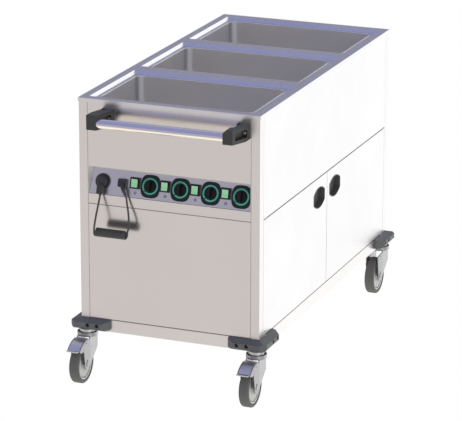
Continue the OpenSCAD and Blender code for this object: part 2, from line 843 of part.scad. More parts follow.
// Panels between the posts
module left_panel() {
    color(STEEL) translate([-body_x, split_y, (side_z0 + panel_top_z) / 2]) rotate([0, -90, 0])
        folded_panel(panel_top_z - side_z0, side_rear_y - side_front_y - 2 * gap);
}
module rear_panel() {
    color(STEEL) translate([0, rear_y, (side_z0 + panel_top_z) / 2]) rotate([-90, 0, 0])
        folded_panel(2 * panel_x, panel_top_z - side_z0);
}
module front_panel_lower() {
    color(STEEL) translate([0, front_y, (side_z0 + lower_z1) / 2]) rotate([90, 0, 0])
        folded_panel(2 * panel_x, lower_z1 - side_z0);
}
module right_panel_upper() {
    color(STEEL) translate([body_x, split_y, (upper_z0 + panel_top_z) / 2]) rotate([0, 90, 0])
        folded_panel(panel_top_z - upper_z0, side_rear_y - side_front_y - 2 * gap);
}

// Front panel with the full-width control recess: strip below, plate above, flared cheeks between
module front_panel_upper() {
    color(STEEL) difference() {
        union() {
            translate([0, front_y, (upper_z0 + panel_top_z) / 2]) rotate([90, 0, 0])
                folded_panel(2 * panel_x, panel_top_z - upper_z0);
            translate([-panel_x, front_y, fascia_low_z - panel_sheet])
                cube([2 * panel_x, cheek_foot_d, panel_sheet]);
            translate([-panel_x, front_y, fascia_high_z])
                cube([2 * panel_x, recess_depth + cheek_foot_d, panel_sheet]);
        }
        translate([-panel_x - cut, front_y - cut, fascia_low_z])
            cube([2 * panel_x + 2 * cut, panel_fold + 2 * cut, fascia_high_z - fascia_low_z]);
        at_handle_screws() translate([0, 0, -panel_sheet - cut])
            cylinder(r = screw_hole_r, h = panel_sheet + 2 * cut);
    }
    color(STEEL) difference() {
        for (i = [0, 1]) mirror([1 - i, 0, 0]) translate([panel_x, front_y, 0])
            rotate([0, 0, 180 - cheek_turn[i]])
            rotate([90, 0, 0]) translate([0, 0, -panel_sheet]) linear_extrude(panel_sheet) polygon([
                [0, fascia_low_z - cheek_foot], [cheek_foot_d, fascia_low_z - cheek_foot],
                [cheek_foot_d, fascia_low_z], [cheek_l[i] + cheek_foot_d, fascia_high_z + panel_sheet],
                [0, fascia_high_z + panel_sheet]
            ]);
        translate([-body_x, front_y - cheek_foot_d, fascia_low_z - cheek_foot - cut])
            cube([body_w, cheek_foot_d, fascia_high_z - fascia_low_z + 2 * cheek_foot]);
    }
}

// Divider under the wells, notched round the posts
module component_tray() {
    color(STEEL) difference() {
        translate([gap + panel_sheet - body_x, front_y + panel_sheet + gap, tray_z])
            cube([
                body_w - 2 * panel_sheet - 2 * gap, rear_y - front_y - 2 * panel_sheet - 2 * gap, tray_edge_h
            ]);
        translate([gap + 2 * panel_sheet - body_x, front_y + 2 * panel_sheet + gap, tray_z + panel_sheet])
            cube([
                body_w - 4 * panel_sheet - 2 * gap, rear_y - front_y - 4 * panel_sheet - 2 * gap, tray_edge_h
            ]);
        for (sx = [-1, 1], sy = [0, 1])
            translate([sx * body_x, sy == 0 ? front_y : rear_y, tray_z]) cube([
                2 * (post_w + tray_notch), 2 * ((sy == 0 ? post_front_d : post_rear_d) + tray_notch),
                2 * tray_edge_h + cut
            ], center = true);
    }
}

// Cupboard liner with its front flange and shelf ledges
module cupboard_liner() {
    color(STEEL) difference() {
        union() {
            translate([liner_x0, liner_y0, liner_z0])
                cube([liner_x1 - liner_x0, liner_y1 - liner_y0, liner_z1 - liner_z0]);
            translate([liner_x1, liner_flange_y, frame_top + gap])
                cube([flange_t, deck_l - 2 * liner_flange_y, divider_z - seam / 2 - frame_top - gap]);
        }
        difference() {
            translate([liner_x0 + liner_sheet, liner_y0 + liner_sheet, liner_z0 + liner_sheet])
                cube([liner_x1 - liner_x0 + flange_t, liner_y1 - liner_y0 - 2 * liner_sheet,
                    liner_z1 - liner_z0 - 2 * liner_sheet]);
            for (y = [liner_y0, liner_y1 - ledge_w - liner_sheet]) {
                translate([liner_x0, y, shelf_z - panel_sheet - liner_sheet])
                    cube([shelf_x1 - liner_x0, ledge_w + liner_sheet, liner_sheet]);
            }
        }
    }
}

// Rubber seal round the cupboard opening
module door_seal() {
    color(DARK) translate([liner_x1 + flange_t, 0, 0]) difference() {
        translate([0, liner_y0 - seal_out, liner_z0 - seal_out])
            cube([seal_t, liner_y1 - liner_y0 + 2 * seal_out, liner_z1 - liner_z0 + 2 * seal_out]);
        translate([-cut, liner_y0 - seal_out + seal_w, liner_z0 - seal_out + seal_w])
            cube([seal_t + 2 * cut, liner_y1 - liner_y0 + 2 * seal_out - 2 * seal_w,
                liner_z1 - liner_z0 + 2 * seal_out - 2 * seal_w]);
    }
}

// Loose shelf with folded long edges
module shelf() {
    y0 = liner_y0 + liner_sheet + gap;
    l = liner_y1 - liner_y0 - 2 * liner_sheet - 2 * gap;
    x0 = liner_x0 + liner_sheet + gap;
    color(STEEL) {
        translate([x0, y0, shelf_z - panel_sheet]) cube([shelf_x1 - x0, l, panel_sheet]);
        for (x = [x0, shelf_x1 - panel_sheet])
            translate([x, y0 + ledge_w + liner_sheet, shelf_z - shelf_edge])
                cube([panel_sheet, l - 2 * ledge_w - 2 * liner_sheet, shelf_edge]);
    }
}

// Door hinge pins, standing on the base frame and hanging from the panel above the doors
module hinge_pins() {
    color(STEEL) for (y = hinge_y) {
        translate([hinge_x, y, frame_top]) {
            cylinder(r = hinge_foot_r, h = hinge_foot_t, $fn = 24);
            cylinder(r = hinge_r, h = hinge_l);
        }
        translate([hinge_x, y, upper_z0 - hinge_foot_t])
            cylinder(r = hinge_foot_r, h = hinge_foot_t, $fn = 24);
        translate([hinge_x, y, upper_z0 - hinge_l]) cylinder(r = hinge_r, h = hinge_l);
    }
}

// Outline of a recessed door handle in y and z, arched at the top and the bottom
module cup_outline(grow) {
    arch_h = (cup_h - cup_end_h) / 2;
    arch_r = (cup_w * cup_w / 4 + arch_h * arch_h) / (2 * arch_h);
    intersection() {
        square([cup_w + 2 * grow, 2 * cup_h], center = true);
        translate([0, cup_h / 2 - arch_r]) circle(arch_r + grow, $fn = 128);
        translate([0, arch_r - cup_h / 2]) circle(arch_r + grow, $fn = 128);
    }
}

// One double-skinned door: 0 is hinged at the front end, 1 at the rear end
module door(i) {
    y0 = [door_y0, split_y + seam][i];
    y1 = [split_y - seam, door_y1][i];
    l = y1 - y0;
    h = door_z1 - door_z0;
    toward = [y0, y1 - hinge_block][i];
    color(STEEL) {
        difference() {
            union() {
                difference() {
                    translate([body_x - door_t, y0, door_z0]) cube([door_t, l, h]);
                    translate([body_x - door_t - cut, y0 + door_skin, door_z0 + door_skin])
                        cube([door_t - door_skin + cut, l - 2 * door_skin, h - 2 * door_skin]);
                }
                for (z = [door_z0, door_z1 - hinge_block_h])
                    translate([body_x - door_t + door_skin + 2 * gap, toward, z])
                        cube([door_t - door_skin - 2 * gap, hinge_block, hinge_block_h]);
            }
            for (z = [door_z0 - cut, door_z1 + cut - hinge_l])
                translate([hinge_x, hinge_y[i], z]) cylinder(r = hinge_r + fit, h = hinge_l);
            translate([body_x, cup_y[i], cup_z]) along_x(2 * door_t) cup_outline(cup_wall + gap);
        }
        translate([body_x - door_t, y0 + door_skin + gap, door_z0 + door_skin + gap])
            cube([door_skin, l - 2 * door_skin - 2 * gap, h - 2 * door_skin - 2 * gap]);
    }
}

// Recessed handle cup with a thin rim on the door face
module door_cup(i) {
    color(DARK) translate([body_x, cup_y[i], cup_z]) difference() {
        union() {
            translate([-(cup_depth + cup_wall) / 2, 0, 0])
                along_x(cup_depth + cup_wall) cup_outline(cup_wall);
            translate([cup_rim_t / 2, 0, 0]) along_x(cup_rim_t) cup_outline(cup_rim);
        }
        translate([(cut + cup_rim_t - cup_depth) / 2, 0, 0])
            along_x(cup_depth + cup_rim_t + cut) cup_outline(0);
    }
}

// Moves onto the tilted fascia: y goes up the slope and z comes out of it
module on_fascia(x, v) {
    translate([x, front_y + v * sin(fascia_tilt), fascia_low_z + v * cos(fascia_tilt)])
        rotate([90 - fascia_tilt, 0, 0]) children();
}
function fascia_dir(d) = [
    d[0],
    d[1] * sin(fascia_tilt) - d[2] * cos(fascia_tilt),
    d[1] * cos(fascia_tilt) + d[2] * sin(fascia_tilt)
];
function fascia_point(x, v, n) = [0, front_y, fascia_low_z] + fascia_dir([x, v, n]);
function fascia_edge(v, i) =
    panel_x - panel_sheet / sin(cheek_turn[i]) - v * sin(fascia_tilt) / tan(cheek_turn[i]) - seam;

module control_fascia() {
    color(STEEL) difference() {
        on_fascia(0, 0) translate([0, 0, -fascia_t]) linear_extrude(fascia_t) polygon([
            [-fascia_edge(fascia_v0, 0), fascia_v0], [fascia_edge(fascia_v0, 1), fascia_v0],
            [fascia_edge(fascia_v1, 1), fascia_v1], [-fascia_edge(fascia_v1, 0), fascia_v1]
        ]);
        for (x = knob_x) on_fascia(x, knob_v) translate([0, 0, -2 * fascia_t])
            cylinder(r = shaft_hole_r, h = 4 * fascia_t);
        for (x = switch_x) on_fascia(x, switch_v)
            cube([switch_body_w + 2 * gap, switch_body_h + 2 * gap, 4 * fascia_t], center = true);
        on_fascia(socket_x, knob_v) translate([0, 0, -2 * fascia_t])
            cylinder(r = socket_body_r + gap, h = 4 * fascia_t);
        on_fascia(gland_x, gland_v) translate([0, 0, -2 * fascia_t])
            cylinder(r = gland_stem_r + gap, h = 4 * fascia_t);
    }
}

// Barrel-shaped control plates with a groove for the dial ring
module knob_plates() {
    color(BLACK) for (x = knob_x) on_fascia(x, knob_v) difference() {
        linear_extrude(bezel_t) intersection() {
            translate([0, bezel_h / 2 - bezel_arc_r]) circle(bezel_arc_r, $fn = 96);
            translate([0, bezel_arc_r - bezel_h / 2]) circle(bezel_arc_r, $fn = 96);
            rounded_rect(bezel_w, bezel_h, bezel_round);
        }
        translate([0, 0, -cut]) cylinder(r = shaft_hole_r, h = bezel_t + 2 * cut);
        translate([0, 0, bezel_t - dial_sink]) linear_extrude(dial_sink + cut) difference() {
            circle(dial_out_r + gap);
            circle(dial_in_r - dial_offset - gap);
        }
    }
}

// Crescent dial rings, broken at the lower left
module dial_rings() {
    color(TEAL) for (x = knob_x) on_fascia(x, knob_v) translate([0, 0, bezel_t - dial_sink])
        linear_extrude(dial_t) difference() {
            circle(dial_out_r);
            rotate(135) translate([dial_offset, 0]) circle(dial_in_r);
            rotate(225) polygon([[0, 0], [2 * dial_out_r, -dial_break], [2 * dial_out_r, dial_break]]);
        }
}

module thermostats() {
    color(DARK) for (x = knob_x) on_fascia(x, knob_v) difference() {
        translate([-thermostat_s / 2, -thermostat_s / 2, -fascia_t - thermostat_d])
            cube([thermostat_s, thermostat_s, thermostat_d]);
        translate([0, 0, -fascia_t - shaft_l]) cylinder(r = shaft_r + fit, h = shaft_l + cut);
    }
}

// Thermostat knob with a finger grip across its skirt, and its shaft
module knob(k) {
    color(BLACK) on_fascia(knob_x[k], knob_v) {
        translate([0, 0, bezel_t + knob_lift]) {
            cylinder(r1 = knob_r, r2 = knob_r - knob_draft, h = knob_skirt_h);
            intersection() {
                translate([-knob_grip_w / 2, -knob_r, 0])
                    cube([knob_grip_w, 2 * knob_r, knob_skirt_h + knob_grip_h]);
                cylinder(r1 = knob_r, r2 = knob_r - 2 * knob_draft, h = knob_skirt_h + knob_grip_h);
            }
        }
        translate([0, 0, cut - fascia_t - shaft_l])
            cylinder(r = shaft_r, h = shaft_l + fascia_t + bezel_t + knob_lift);
    }
}

// Switch frames with their housings behind the fascia
module switch_frames() {
    color(BLACK) for (x = switch_x) on_fascia(x, switch_v) difference() {
        union() {
            linear_extrude(switch_t) rounded_rect(switch_w, switch_h, switch_round);
            translate([-switch_body_w / 2, -switch_body_h / 2, -switch_body_d])
                cube([switch_body_w, switch_body_h, switch_body_d + switch_t / 2]);
        }
        translate([-rocker_open_w / 2, -rocker_open_h / 2, switch_wall - switch_body_d])
            cube([rocker_open_w, rocker_open_h, switch_body_d + switch_t]);
        translate([0, 0, rocker_axis_n]) along_x(rocker_open_w + 2 * rocker_pin_l + 2 * rocker_side)
            circle(rocker_pin_r + fit);
    }
}

// Lit rocker, its ends round about its pins
module rocker(k) {
    color(LENS) on_fascia(switch_x[k], switch_v) translate([0, 0, rocker_axis_n])
        rotate([rocker_tilt, 0, 0]) {
            along_x(rocker_open_w - 2 * rocker_side) polygon([
                [-rocker_half, -rocker_sink], [rocker_half, -rocker_sink], [rocker_half, rocker_h],
                [0, rocker_h - rocker_dip], [-rocker_half, rocker_h]
            ]);
            along_x(rocker_open_w + 2 * rocker_pin_l) circle(rocker_pin_r);
        }
}

// Parking socket for the mains plug
module at_socket_pins() { for (s = [-1, 1]) translate([s * socket_pin_x, 0, 0]) children(); }

module parking_socket() {
    color(DARK) on_fascia(socket_x, knob_v) difference() {
        union() {
            cylinder(r = socket_r, h = socket_t);
            translate([0, 0, -socket_body_d]) cylinder(r = socket_body_r, h = socket_body_d + socket_t / 2);
        }
        translate([0, 0, socket_t - socket_bore_d]) cylinder(r = socket_bore_r, h = socket_bore_d + cut);
        at_socket_pins() translate([0, 0, socket_t - socket_bore_d - plug_pin_l])
            cylinder(r = plug_pin_r + gap, h = plug_pin_l + cut);
    }
}

// Mains plug: round body, cable neck pointing down, two round pins
module plug() {
    color(DARK) on_fascia(socket_x, knob_v) {
        translate([0, 0, socket_t - socket_bore_d + gap])
            cylinder(r = plug_r, h = socket_bore_d - socket_t - gap + plug_out - plug_round);
        translate([0, 0, plug_out - plug_round])
            cylinder(r1 = plug_r, r2 = plug_r - plug_round, h = plug_round);
        at_socket_pins() translate([0, 0, socket_t - socket_bore_d - plug_pin_l + 2 * gap])
            cylinder(r = plug_pin_r, h = plug_pin_l + cut, $fn = 24);
        translate([0, -knob_v, 0]) {
            intersection() {
                translate([0, (plug_neck_v0 + plug_neck_v1) / 2, plug_neck_n0])
                    linear_extrude(plug_neck_n1 - plug_neck_n0)
                        rounded_rect(plug_neck_w, plug_neck_v1 - plug_neck_v0, plug_neck_round);
                translate([0, 0, (plug_neck_n0 + plug_neck_n1) / 2]) rotate([90, 0, 0])
                    linear_extrude(3 * knob_v, center = true)
                        rounded_rect(plug_neck_w, plug_neck_n1 - plug_neck_n0, plug_neck_round);
            }
            translate([0, plug_neck_v0 + cut, plug_exit_n]) rotate([90, 0, 0])
                cylinder(r1 = relief_r0, r2 = relief_r1, h = relief_l + cut);
        }
    }
}

// Cable gland with a tapered bend protector
module cable_gland() {
    color(DARK) on_fascia(gland_x, gland_v) {
        linear_extrude(gland_t) rounded_rect(gland_s, gland_s, gland_round);
        translate([0, 0, -gland_stem_l]) cylinder(r = gland_stem_r, h = gland_stem_l + gland_t / 2);
        translate([boot_dx, boot_dv, gland_t]) rotate([0, 0, boot_turn]) rotate([boot_lean, 0, 0])
            translate([0, 0, -boot_sink]) cylinder(r1 = boot_r0, r2 = boot_r1, h = boot_l + boot_sink);
    }
}

// Push handle: bar and brackets
module handle_bar() {
    color(STEEL) translate([bar_shift, front_y - bar_out, bar_z])
        along_x(bar_x[1] - bar_x[0] + 2 * bar_end - 2 * gap) difference() {
            circle(bar_d / 2);
            circle(bar_d / 2 - bar_wall);
        }
}

module bracket() {
    yf = -block_front;
    yb = yf + block_d;
    slant = (root_out - block_w) / block_front;
    difference() {
        intersection() {
            translate([0, 0, -block_front]) linear_extrude(3 * block_front) polygon([
                [0, yf], [block_w, yf], [root_out, 0], [root_out - root_w, 0], [root_out - root_w, -root_t],
                [block_w - slant * (yf + root_t) - arm_w, -root_t], [block_w + slant * block_d - arm_w, yb],
                [0, yb]
            ]);
            along_x(4 * root_out) polygon([
                [yf, -block_below], [-arm_knee, -arm_knee_below], [0, -root_below],
                [0, root_above], [yf, block_above]
            ]);
        }
        translate([0, 0, block_above]) along_y(4 * block_front) polygon([
            [-cut, cut], [-cut, -block_cut[1]], [0, -block_cut[1]], [block_cut[0], 0], [block_cut[0], cut]
        ]);
        translate([block_w, yf, -slot_below]) rotate([0, 0, -atan(slant)])
            translate([-slot_d, slot_from, 0]) cube([slot_d + cut, slot_l, slot_h]);
        translate([root_out - handle_screw_in, -handle_seat, handle_screw_up]) rotate([90, 0, 0])
            cylinder(r = screw_bore_r, h = slot_l);
        translate([root_out - handle_screw_in, cut, handle_screw_up]) rotate([90, 0, 0])
            cylinder(r = screw_hole_r, h = handle_seat + 2 * cut);
    }
}

module handle_brackets() {
    color(DARK) difference() {
        for (k = [-1, 0]) translate([bar_x[1] + k * bracket_pitch, front_y, bar_z]) bracket();
        translate([bar_shift, front_y - bar_out, bar_z])
            along_x(bar_x[1] - bar_x[0] + 2 * bar_end) circle(bar_d / 2 + fit);
    }
}

// Mains lead: tubes swept along their routes, cut square at both ends
function unit(v) = v / norm(v);
function ring_dir(p, i, d0, d1) =
    i == 0 ? unit(d0) : i == len(p) - 1 ? unit(d1) : unit(unit(p[i + 1] - p[i]) + unit(p[i] - p[i - 1]));
function ring(c, t, r, n) = let (u = unit(cross(t, [1, 0, 0])), w = cross(t, u))
    [for (k = [0:n - 1]) c + r * (u * cos(360 * k / n) + w * sin(360 * k / n))];

module sweep(path, d0, d1, r, n) {
    m = len(path);
    polyhedron(
        points = [for (i = [0:m - 1]) each ring(path[i], ring_dir(path, i, d0, d1), r, n)],
        faces = concat(
            [[for (k = [0:n - 1]) k]],
            [[for (k = [n - 1:-1:0]) (m - 1) * n + k]],
            [for (i = [0:m - 2], k = [0:n - 1]) [i * n + k, (i + 1) * n + k, (i + 1) * n + (k + 1) % n]],
            [for (i = [0:m - 2], k = [0:n - 1]) [i * n + k, (i + 1) * n + (k + 1) % n, i * n + (k + 1) % n]]
        )
    );
}

function route_sum(p) = [for (i = [0:len(p) - 2]) norm(p[i + 1] - p[i])] * [for (i = [0:len(p) - 2]) 1];
echo(lead_length = route_sum(PLUG_PATH) + route_sum(COIL_PATH) + route_sum(GLAND_PATH));
echo(least_gap_of_curls = min([
    for (i = [0:len(COIL_PATH) - 6]) for (j = [i + 5:len(COIL_PATH) - 1]) norm(COIL_PATH[i] - COIL_PATH[j])
]) - cord_d);

module cord_plug_stretch() {
    color(DARK) sweep(PLUG_PATH, fascia_dir([0, -1, 0]), [0, 0, -1], cord_d / 2, 8);
}
module cord_coil() {
    color(DARK) sweep(COIL_PATH, [0, 0, -1], [0, 0, 1], cord_d / 2, 6);
}
module cord_gland_stretch() {
    color(DARK) sweep(GLAND_PATH, [0, 0, 1], -boot_dir, cord_d / 2, 8);
}

// Every sub-part, drawn where it belongs
centred() base_frame();
centred() castor_heads();
centred() castor_bolts();
centred() castor_fork(-swivel_x, swivel_front_y, true);  // castor_fork_fl
centred() castor_fork(swivel_x, swivel_front_y, true);  // castor_fork_fr
centred() castor_fork(-swivel_x, swivel_rear_y, false);  // castor_fork_rl
centred() castor_fork(swivel_x, swivel_rear_y, false);  // castor_fork_rr
centred() wheel_core(-swivel_x, swivel_front_y);  // castor_core_fl
centred() wheel_core(swivel_x, swivel_front_y);  // castor_core_fr
centred() wheel_core(-swivel_x, swivel_rear_y);  // castor_core_rl
centred() wheel_core(swivel_x, swivel_rear_y);  // castor_core_rr
centred() wheel_tyre(-swivel_x, swivel_front_y);  // castor_tyre_fl
centred() wheel_tyre(swivel_x, swivel_front_y);  // castor_tyre_fr
centred() wheel_tyre(-swivel_x, swivel_rear_y);  // castor_tyre_rl
centred() wheel_tyre(swivel_x, swivel_rear_y);  // castor_tyre_rr
centred() brake_pedal(-swivel_x, swivel_front_y);  // brake_pedal_fl
centred() brake_pedal(swivel_x, swivel_front_y);  // brake_pedal_fr
centred() corner_bumpers();
centred() body_screws();
centred() corner_posts();
centred() front_panel_upper();
centred() front_panel_lower();
centred() left_panel();
centred() rear_panel();
centred() right_panel_upper();
centred() component_tray();
centred() cupboard_liner();
centred() door_seal();
centred() shelf();
centred() hinge_pins();
centred() door(0);  // door_front
centred() door(1);  // door_rear
centred() door_cup(0);  // door_cup_front
centred() door_cup(1);  // door_cup_rear
centred() top_deck();
centred() well(0);  // well_1
centred() well(1);  // well_2
centred() well(2);  // well_3
centred() heaters();
centred() control_fascia();
centred() knob_plates();
centred() dial_rings();
centred() switch_frames();
centred() thermostats();
centred() knob(0);  // knob_1
centred() knob(1);  // knob_2
centred() knob(2);  // knob_3
centred() knob(3);  // knob_4
centred() rocker(0);  // rocker_1
centred() rocker(1);  // rocker_2
centred() rocker(2);  // rocker_3
centred() rocker(3);  // rocker_4
centred() handle_bar();
centred() handle_brackets();
centred() parking_socket();
centred() cable_gland();
centred() plug();
centred() cord_plug_stretch();
centred() cord_coil();
centred() cord_gland_stretch();
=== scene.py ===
import math

import bmesh
import bpy
from mathutils import Matrix, Vector


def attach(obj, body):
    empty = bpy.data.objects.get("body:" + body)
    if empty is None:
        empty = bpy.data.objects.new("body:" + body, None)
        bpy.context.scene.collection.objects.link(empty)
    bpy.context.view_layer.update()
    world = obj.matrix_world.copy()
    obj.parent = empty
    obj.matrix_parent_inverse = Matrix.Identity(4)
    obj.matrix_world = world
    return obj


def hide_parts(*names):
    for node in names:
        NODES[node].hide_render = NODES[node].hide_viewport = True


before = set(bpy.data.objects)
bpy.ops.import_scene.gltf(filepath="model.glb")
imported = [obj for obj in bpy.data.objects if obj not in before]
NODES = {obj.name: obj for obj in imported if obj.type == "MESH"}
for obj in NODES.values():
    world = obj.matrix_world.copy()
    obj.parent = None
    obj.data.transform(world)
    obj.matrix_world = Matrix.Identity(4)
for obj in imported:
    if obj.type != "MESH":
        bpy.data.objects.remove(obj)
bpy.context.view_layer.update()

MM = 0.001

# The frame's origin, the front face and the tilted fascia in part.scad, in mm before centring
ORIGIN_Y = 569.0
FRONT_Y = 2.0
FASCIA_LOW_Z = 615.0
FASCIA_TILT = math.radians(18)


def place(x, y, z):
    """A point of part.scad, in mm before centring, in the row frame in metres."""
    return Vector((x * MM, (y - ORIGIN_Y) * MM, z * MM))


def fascia_dir(x, v, n):
    """A direction given across the fascia, up its slope and out of it."""
    s, c = math.sin(FASCIA_TILT), math.cos(FASCIA_TILT)
    return Vector((x, v * s - n * c, v * c + n * s))


def fascia_point(x, v, n):
    """A point on the tilted fascia in mm: x across, v up the slope, n out of it."""
    return Vector((0, FRONT_Y, FASCIA_LOW_Z)) + fascia_dir(x, v, n)


# Camera, fitted to the corners of the deck, the body and the base
CAMERA_AZIMUTH = math.radians(21.579)
CAMERA_ELEVATION = math.radians(17.088)
CAMERA_ROLL = math.radians(0.125)
CAMERA_AIM = (11.4, 493.8, 450.0)
CAMERA_AWAY = 9.205
CAMERA_LENS = 220.94
SENSOR_W = 36
CLIP_END = 50


def add_camera():
    azimuth, elevation, roll = CAMERA_AZIMUTH, CAMERA_ELEVATION, CAMERA_ROLL
    back = Vector((
        math.sin(azimuth) * math.cos(elevation),
        -math.cos(azimuth) * math.cos(elevation),
        math.sin(elevation),
    ))
    level = Vector((math.cos(azimuth), math.sin(azimuth), 0))
    upright = back.cross(level)
    right = math.cos(roll) * level + math.sin(roll) * upright
    up = -math.sin(roll) * level + math.cos(roll) * upright
    data = bpy.data.cameras.new("camera")
    data.sensor_width = SENSOR_W
    data.lens = CAMERA_LENS
    data.clip_end = CLIP_END
    camera = bpy.data.objects.new("camera", data)
    bpy.context.scene.collection.objects.link(camera)
    turned = Matrix((right, up, back)).transposed().to_4x4()
    camera.matrix_world = Matrix.Translation(place(*CAMERA_AIM) + back * CAMERA_AWAY) @ turned
    bpy.context.scene.camera = camera


def add_tube(name, route, radius, resolution, closed=False):
    """A round tube of a radius in mm along points in metres, as a curve of one spline.

    A point's own radius widens the curve's box, so it is kept at 1 mm.
    """
    data = bpy.data.curves.new(name, "CURVE")
    data.dimensions = "3D"
    spline = data.splines.new("POLY")
    spline.points.add(len(route) - 1)
    for point, where in zip(spline.points, route):
        point.co = (*where, 1)
        point.radius = MM
    spline.use_cyclic_u = closed
    data.bevel_depth = radius
    data.bevel_resolution = resolution
    data.use_fill_caps = not closed
    tube = bpy.data.objects.new(name, data)
    bpy.context.scene.collection.objects.link(tube)
    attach(tube, "trolley_body")
    return tube


# Mains lead: the route of part.scad, from the plug to the coil and from the coil to the gland
CORD_NODES = ("cord_plug_stretch", "cord_coil", "cord_gland_stretch")
CORD_D = 6.0
CURL_R = 11.5
CURL_PITCH = 6.6
CURLS = 15.5
POINTS_PER_CURL = 24
COIL_START = (-226.0, -47.0, 508.0)
ROUTE_STEP = 4
PLUG_EXIT = (-226.0, -2.5, 12.5)
GLAND_AT = (-156.7, 39.0, 12.0)
BOOT_L = 22.0
BOOT_LEAN = math.radians(75)
BOOT_TURN = math.radians(25)
PLUG_ROUTE = [
    (-226, -20.5, 597), (-226, -30, 580), (-226, -39, 565),
    (-226, -47.5, 549), (-226, -54, 534), (-226, -58, 521),
]
GLAND_ROUTE = [
    (-121.2, -31, 528), (-122.2, -26.5, 544), (-124.7, -22, 558.5), (-127.9, -17.5, 572.5),
    (-131.7, -13.5, 587), (-135.4, -10.5, 602), (-138.4, -8, 616),
]


def smooth(points, step):
    """Points every step mm on a smooth curve through the given points."""
    out = []
    ends = [2 * points[0] - points[1]] + list(points) + [2 * points[-1] - points[-2]]
    for a, b, c, d in zip(ends, ends[1:], ends[2:], ends[3:]):
        count = max(1, round((c - b).length / step))
        for i in range(count):
            t = i / count
            out.append(0.5 * (
                2 * b + (c - a) * t + (2 * a - 5 * b + 4 * c - d) * t * t
                + (3 * b - a - 3 * c + d) * t ** 3
            ))
    return out + [points[-1]]


def boot_line():
    """Where the gland's boot starts and the way it points, in mm."""
    along = fascia_dir(
        math.sin(BOOT_LEAN) * math.sin(BOOT_TURN),
        -math.sin(BOOT_LEAN) * math.cos(BOOT_TURN),
        math.cos(BOOT_LEAN),
    )
    return fascia_point(*GLAND_AT), along


def lead_route():
    """Points of the lead in metres, from the boot over the coil to the plug."""
    boot_start, boot_dir = boot_line()
    boot_end = boot_start + BOOT_L * boot_dir
    plug_exit = fascia_point(*PLUG_EXIT)
    x, y, z = COIL_START
    coil = [
        Vector((
            x + CURL_PITCH * i / POINTS_PER_CURL,
            y - CURL_R * math.cos(2 * math.pi * i / POINTS_PER_CURL),
            z - CURL_R * math.sin(2 * math.pi * i / POINTS_PER_CURL),
        ))
        for i in range(int(CURLS * POINTS_PER_CURL) + 1)
    ]
    lift = Vector((0, 0, CORD_D))
    plug_side = [plug_exit, plug_exit + CORD_D * fascia_dir(0, -1, 0)]
    plug_side += [Vector(p) for p in PLUG_ROUTE] + [coil[0] + lift]
    gland_side = [coil[-1] + lift] + [Vector(p) for p in GLAND_ROUTE]
    gland_side += [boot_end + CORD_D * boot_dir, boot_end]
    route = smooth(plug_side, ROUTE_STEP) + coil + smooth(gland_side, ROUTE_STEP)
    return [place(*p) for p in reversed(route)]


def add_lead():
    route = lead_route()
    lead = add_tube("mains_lead", route, CORD_D / 2, resolution=4)
    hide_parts(*CORD_NODES)
    return lead


# Small pieces, in mm. AXIS_R is the least radius of a turned profile.
AXIS_R = 0.01
CASTORS = {"fl": (-286, 16), "fr": (286, 16), "rl": (-286, 1200), "rr": (286, 1200)}
BRAKED = ("fl", "fr")
CASTOR_TRAIL = 52
WHEEL_R = 62.5
LEG_OUT = 22.6
WING_X = (19.9, 22.3)
# The x span of the dark strips by the fork legs, which are painted shade.
SHADE_STRIP_X = (18.7, 19.4)
# Rivets of a leg: how far before the swivel's axis, how high, and their share of the full size
RIVETS = ((56, 76, 1.0), (60.5, 134.5, 0.6))

RECESS_Y = (204, 608, 1012)
LIP_HALF_W, LIP_HALF_L, LIP_CORNER, LIP_Z = 254.0, 151.5, 27.0, 909.9
LIP_R = 1.3
CORNER_STEPS = 8

SWITCH_X = (-117.5, -17.0, 83.5, 184.0)
MARK_SHIFT, MARK_V, MARK_T = 2.2, 16.7, 0.22
PRINT_LIFT = 0.02
KNOB_X = (-66.5, 34.0, 134.5, 235.0)
KNOB_V = 42.0
PLATE_W, PLATE_H, PLATE_T = 63.0, 72.0, 3.0
PLATE_SQUARENESS = 3.1
RING_R = (20.9, 26.2)
RING_T = 0.25
RING_FROM, RING_SWEEP = math.radians(229), math.radians(352)

BRACKET_X = (-235.5, -203.5)
# The dark fill from the left bracket back to the panel, which stands in for shade there: painted
# shade.
SHADE_FILL_Y = (-86.0, -52.0)
SHADE_FILL_Z = (872.0, 891.6)
SHADE_FILL_PROUD = 0.15
SHADE_FILL_ROUND = 1.5

SLEEVE_L = 40.0
SLEEVE_R = (7.2, 4.2)
SLEEVE_STEP = 1.5
SLEEVE_RIB = 0.35


def add_mesh(name, bm, body, smooth_faces=False):
    bmesh.ops.recalc_face_normals(bm, faces=bm.faces)
    mesh = bpy.data.meshes.new(name)
    bm.to_mesh(mesh)
    bm.free()
    for face in mesh.polygons:
        face.use_smooth = smooth_faces
    obj = bpy.data.objects.new(name, mesh)
    bpy.context.scene.collection.objects.link(obj)
    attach(obj, body)
    return obj


def loft(bm, sections, closed=False):
    """Faces between closed outlines of equal count, in metres: end caps, or a closed loop."""
    rows = [[bm.verts.new(point) for point in section] for section in sections]
    for a, b in zip(rows, rows[1:] + rows[:1] if closed else rows[1:]):
        for i in range(len(a)):
            j = (i + 1) % len(a)
            bm.faces.new((a[i], a[j], b[j], b[i]))
    if not closed:
        bm.faces.new(reversed(rows[0]))
        bm.faces.new(rows[-1])


def add_prism(bm, points, x0, x1):
    """A closed outline of (y, z) points in mm, drawn out from x0 to x1."""
    loft(bm, [[place(x, y, z) for y, z in points] for x in (x0, x1)])


def add_lathe(bm, centre, along, side, profile, steps):
    """A closed profile of (radius, height) in mm turned about the axis along."""
    other = along.cross(side)
    sections = []
    for k in range(steps):
        a = 2 * math.pi * k / steps
        out = math.cos(a) * side + math.sin(a) * other
        sections.append([place(*(centre + r * out + h * along)) for r, h in profile])
    loft(bm, sections, closed=True)


